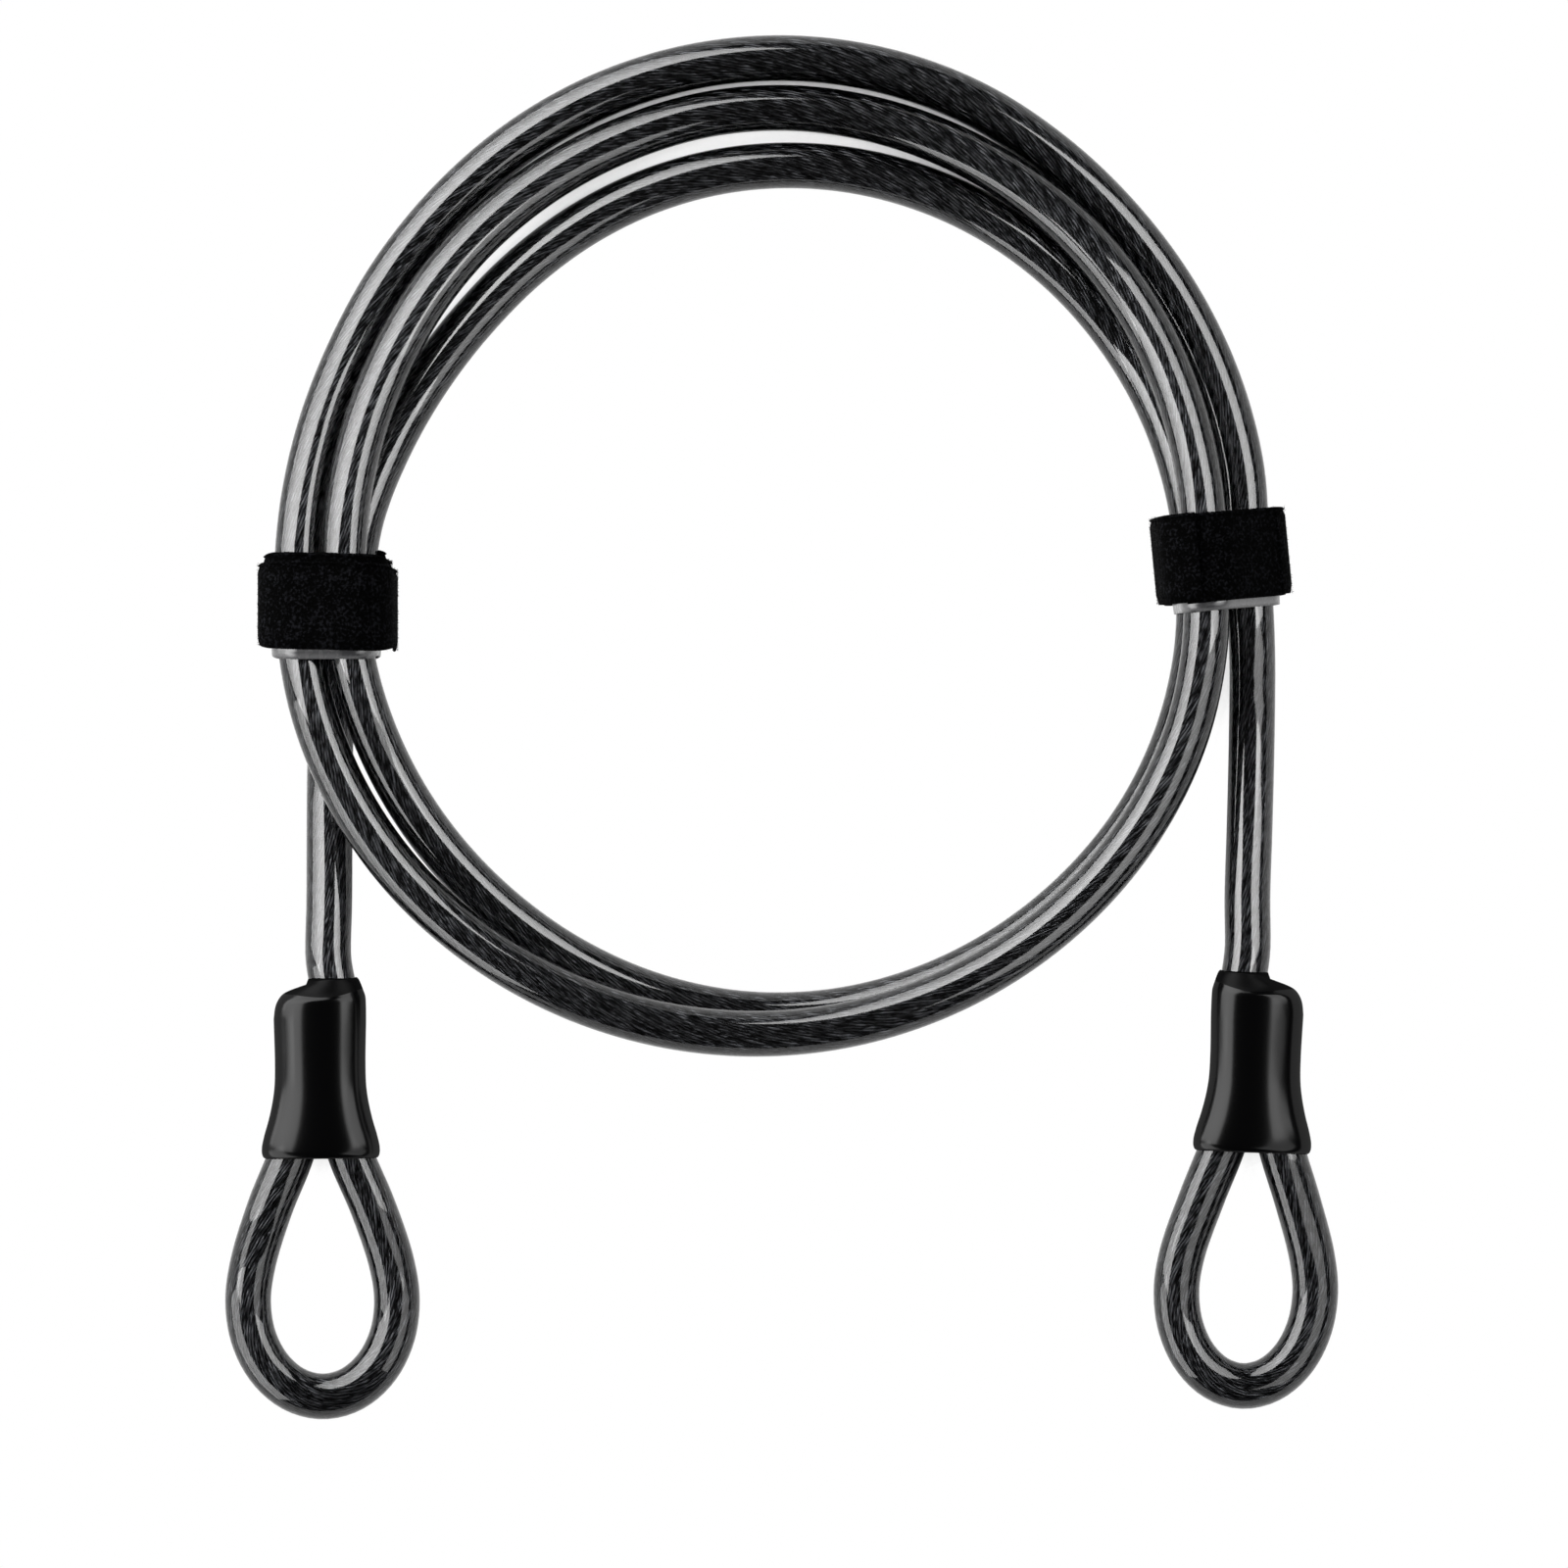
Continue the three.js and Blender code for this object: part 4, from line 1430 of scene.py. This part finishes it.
        tape = self.wind(begin, root)
        length = tape[-1].wound
        free = self.wind(root, tip)
        free = wound([WindPlace(p.corner, p.out, p.wound + length, p.angle) for p in free])
        outer = wound([p for p in tape if length - p.wound < perimeter])
        ends = plan.band_opening / 2 / plan.band_offset
        loop = self.wind(-math.pi / 2 - ends, -math.pi / 2 - FULL_TURN + ends)
        band = Winding(loop, [plan.band_offset] * len(loop), [-plan.band_drop] * len(loop))
        size = (plan.tape_thickness, plan.tape_width)
        name = plan.name
        return {
            "band": self.tape(f"{name}_band", band, plan.band_thickness, plan.band_width),
            "tape": self.tape(f"{name}_tape", wound(tape), *size),
            "flap": self.tape(f"{name}_free_tape", free, *size),
            "tape_pile": self.pile(f"{name}_tape_pile", outer, SEED),
            "flap_pile": self.pile(f"{name}_free_pile", free, SEED + 1),
        }


# ---- Studio ------------------------------------------------------------------------------


@dataclass(frozen=True)
class SoftBox:
    """A flat lamp that faces the coil. Its glow is 1 where its face is white.

    It slides along its own width, clockwise seen from above.
    """

    azimuth: float
    elevation: float
    away: float
    high: float
    wide: float
    glow: float
    slide: float
    spread: float = 140.0

    @property
    def facing(self) -> Vector:
        """Direction from the coil to the lamp before it slides."""
        turn, rise = math.radians(self.azimuth), math.radians(self.elevation)
        level = math.cos(rise)
        return Vector((math.cos(turn) * level, math.sin(turn) * level, math.sin(rise)))

    @property
    def place(self) -> Vector:
        """Middle of its face."""
        turn = math.radians(self.azimuth)
        across = Vector((math.sin(turn), -math.cos(turn), 0.0))
        return self.facing * self.away + across * self.slide


@dataclass
class Studio:
    """Pale floor, wall, soft boxes and the camera straight above.

    The object's shade on the floor is black below a share of open sky, gap_dark to the camera
    and shade_dark in gloss and glass, and the gains say how fast it clears above that.
    """

    view_width: float = 0.34048
    view_middle: tuple[float, float] = (0.53 * MM, -12.34 * MM)
    object_height: float = 8.0 * MM
    camera_height: float = 2.4
    sensor: float = 36.0
    floor_radius: float = 6.0
    floor_sides: int = 96
    floor_drop: float = 0.05 * MM
    floor_grey: float = 0.8
    wall_height: float = 1.3
    sky: float = 0.02
    gap_width: float = 12.0 * MM
    gap_dark: float = 0.1
    gap_gain: float = 10.0
    shade_width: float = 45.0 * MM
    shade_dark: float = 0.3
    shade_gain: float = 1.6
    lamps: Mapping[str, SoftBox] = field(
        default_factory=lambda: {
            "left_box": SoftBox(150.0, 30.4, 0.643, 0.75, 1.12, 3.5, 0.126),
            "lower_left_box": SoftBox(200.0, 20.0, 0.75, 0.5, 0.7, 2.2, -0.204),
            "right_box": SoftBox(20.0, 46.0, 0.688, 0.45, 0.56, 2.4, -0.036),
            "lower_right_box": SoftBox(-35.0, 46.0, 0.7, 0.45, 0.48, 1.0, -0.031),
        }
    )

    def backdrop_material(self) -> bpy.types.Material:
        """White to the camera, in gloss and through glass, but for the object's shadow.

        The shadow that gloss and glass show reaches further out than the camera's.
        """
        graph = Graph("studio_white")
        paper = graph.add("ShaderNodeBsdfDiffuse", {"Color": (*[self.floor_grey] * 3, 1.0)})
        white = graph.add("ShaderNodeEmission", {"Color": (1.0,) * 4, "Strength": 1.0})
        camera, gloss, glass = (
            graph.add("ShaderNodeLightPath", output=f"Is {kind} Ray")
            for kind in ("Camera", "Glossy", "Transmission")
        )
        gap, shade = (
            graph.add("ShaderNodeAmbientOcclusion", {"Distance": width}, "AO", samples=8)
            for width in (self.gap_width, self.shade_width)
        )
        share = camera * ((gap - self.gap_dark) * self.gap_gain).clamped()
        clear = ((shade - self.shade_dark) * self.shade_gain).clamped()
        share = (share + (gloss + glass).clamped() * clear).clamped()
        return graph.finish(graph.add("ShaderNodeMixShader", {0: share, 1: paper, 2: white}))

    def build(self) -> None:
        """Build the floor, the wall, the lamps, the world and the camera."""
        sides = self.floor_sides
        angle = angles(sides)
        circle = np.stack([np.cos(angle), np.sin(angle)], axis=-1) * self.floor_radius
        heights = (-self.floor_drop, self.wall_height)
        points = np.vstack([np.column_stack([circle, np.full(sides, h)]) for h in heights])
        faces = [list(range(sides))] + ring_faces(2, sides).tolist()
        floor = make_piece("studio_floor", points, faces, smooth=False)
        floor.data.materials.append(self.backdrop_material())
        self._world()
        for name, box in self.lamps.items():
            self._lamp(name, box)
        self._camera()

    def _world(self) -> None:
        """Dim, even light from all round."""
        world = bpy.data.worlds.new("studio")
        bpy.context.scene.world = world
        world.use_nodes = True
        background = world.node_tree.nodes["Background"]
        background.inputs["Color"].default_value = (1.0, 1.0, 1.0, 1.0)
        background.inputs["Strength"].default_value = self.sky

    def _lamp(self, name: str, box: SoftBox) -> None:
        """Add a soft box that faces the coil.

        Args:
            name: The lamp's name.
            box: Its place and size.
        """
        light = bpy.data.lights.new(name, "AREA")
        light.shape = "RECTANGLE"
        light.size, light.size_y = box.wide, box.high
        light.energy = box.glow * math.pi * box.wide * box.high
        light.spread = math.radians(box.spread)
        lamp = bpy.data.objects.new(name, light)
        lamp.location = box.place
        lamp.rotation_euler = (-box.facing).to_track_quat("-Z", "Y").to_euler()
        lamp.visible_camera = False
        bpy.context.scene.collection.objects.link(lamp)

    def _camera(self) -> None:
        """Add the camera, as far as a product photographer would stand."""
        camera = bpy.data.cameras.new("camera")
        camera.sensor_width = self.sensor
        away = self.camera_height - self.object_height
        camera.lens = self.sensor * away / self.view_width
        camera.clip_end = 50.0
        holder = bpy.data.objects.new("camera", camera)
        holder.location = (*self.view_middle, self.camera_height)
        bpy.context.scene.collection.objects.link(holder)
        bpy.context.scene.camera = holder


# ---- The whole ---------------------------------------------------------------------------


class CableLock:
    """The coiled cable with its two ends and two straps."""

    def __init__(self) -> None:
        """Work out the cable's line and make the finishes."""
        self.route = CoilRoute().line()
        self.worn_jacket = SmokeJacket("worn_smoke_jacket", skin=0.22).material()
        satin = MouldedSleeve("satin_hood", polish=0.4, gloss=0.03, gloss_roughness=0.4)
        self.hood = satin.material()
        self.finishes: dict[Slot, bpy.types.Material] = {
            Slot.JACKET: SmokeJacket().material(),
            Slot.ROPE: RopeSteel().material(),
            Slot.FERRULE: PressedAluminium().material(),
            Slot.SLEEVE: MouldedSleeve().material(),
            Slot.TAPE: LoopPile().material(),
            Slot.BAND: BandBacking().material(),
        }

    def dress(
        self, piece: bpy.types.Object, slot: Slot, body: Body, nodes: Sequence[str] = ()
    ) -> bpy.types.Object:
        """Give a piece its finish and its body.

        Args:
            piece: The object.
            slot: Its material slot.
            body: The body that it rides on.
            nodes: The CAD nodes that it stands for.

        Returns:
            The piece.
        """
        piece.data.materials.clear()
        piece.data.materials.append(self.finishes[slot])
        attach(piece, body.value)
        if nodes:
            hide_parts(*nodes)
        LOG.info("%s: %d faces", piece.name, len(piece.data.polygons))
        return piece

    def lay_cable(
        self,
        names: tuple[str, str],
        lines: tuple[Line, Line],
        steps: tuple[float, float],
        nodes: Sequence[str],
    ) -> bpy.types.Object:
        """Args:
            names: Names of the rope and of the jacket.
            lines: Centrelines of the rope and of the jacket.
            steps: Length between the jacket's rings, and between the points of a path along the
                jacket that is worked out but not used.
            nodes: What the names of the CAD nodes that they stand for begin with.

        Returns:
            The jacket.
        """
        rope = Rope().build(names[0], lines[0])
        self.dress(rope, Slot.ROPE, Body.CABLE, [f"{node}_rope" for node in nodes])
        jacket = Jacket(steps[0]).build(names[1], lines[1])
        self.dress(jacket, Slot.JACKET, Body.CABLE, [f"{node}_jacket" for node in nodes])
        path = lines[1].part(0.0, lines[1].length, steps[1])
        return jacket

    def build_cable(self) -> None:
        """Build the rope and jacket between the two ferrules."""
        gap = CABLE.rope_gap
        inset = LEFT_END.rope_stub + 2 * gap
        whole = Line(CABLE.placed(self.route.points), self.route.lengths)
        rope, jacket = (whole.part(cut, whole.length - cut, 1.0 * MM) for cut in (gap, inset))
        self.lay_cable(
            ("cable_rope", "cable_jacket"), (rope, jacket), (2.0 * MM, 8.0 * MM),
            ("left_tail", "coil", "right_tail"),
        )

    def build_end(self, plan: TerminalPlan) -> None:
        """Build one end's sleeve, rope eye and jacket, and give its ferrule a finish.

        Args:
            plan: The end's plan.
        """
        name = plan.name
        line = plan.eye_line()
        bare = plan.ferrule_length + plan.bare_legs
        covered = line.part(plan.rope_stub + bare, line.length - bare, 1.0 * MM)
        jacket = self.lay_cable(
            (f"{name}_eye_strands", f"{name}_eye_skin"), (line, covered), (1.5 * MM, 5.0 * MM),
            (f"{name}_eye",),
        )
        jacket.data.materials[0] = self.worn_jacket
        sleeve = Sleeve(plan)
        cover = self.dress(sleeve.build(), Slot.SLEEVE, Body.CABLE, [f"{name}_sleeve"])
        sleeve.dress_hood(cover, self.hood)
        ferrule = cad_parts[f"{name}_ferrule"]
        ferrule.data.materials.clear()
        ferrule.data.materials.append(self.finishes[Slot.FERRULE])

    def build_strap(self, plan: StrapPlan) -> None:
        """Build one strap.

        Args:
            plan: The strap's plan.
        """
        pieces = Strap(plan, self.route).build()
        node = f"{plan.name}_strap"
        self.dress(pieces["band"], Slot.BAND, Body.CABLE, [f"{node}_band"])
        self.dress(pieces["tape"], Slot.TAPE, Body.CABLE, [f"{node}_tape"])
        self.dress(pieces["tape_pile"], Slot.TAPE, Body.CABLE)
        self.dress(pieces["flap"], Slot.TAPE, plan.body, [f"{node}_free_end"])
        self.dress(pieces["flap_pile"], Slot.TAPE, plan.body)


def main() -> None:
    """Build the studio and the object."""
    logging.basicConfig(level=logging.INFO, format="%(name)s %(message)s")
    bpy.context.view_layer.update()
    bpy.context.scene.view_settings.view_transform = "Standard"
    Studio().build()
    lock = CableLock()
    lock.build_cable()
    for end in (LEFT_END, RIGHT_END):
        lock.build_end(end)
    for strap in (LEFT_STRAP, RIGHT_STRAP):
        lock.build_strap(strap)
    bpy.context.view_layer.update()


if __name__ == "__main__":
    main()
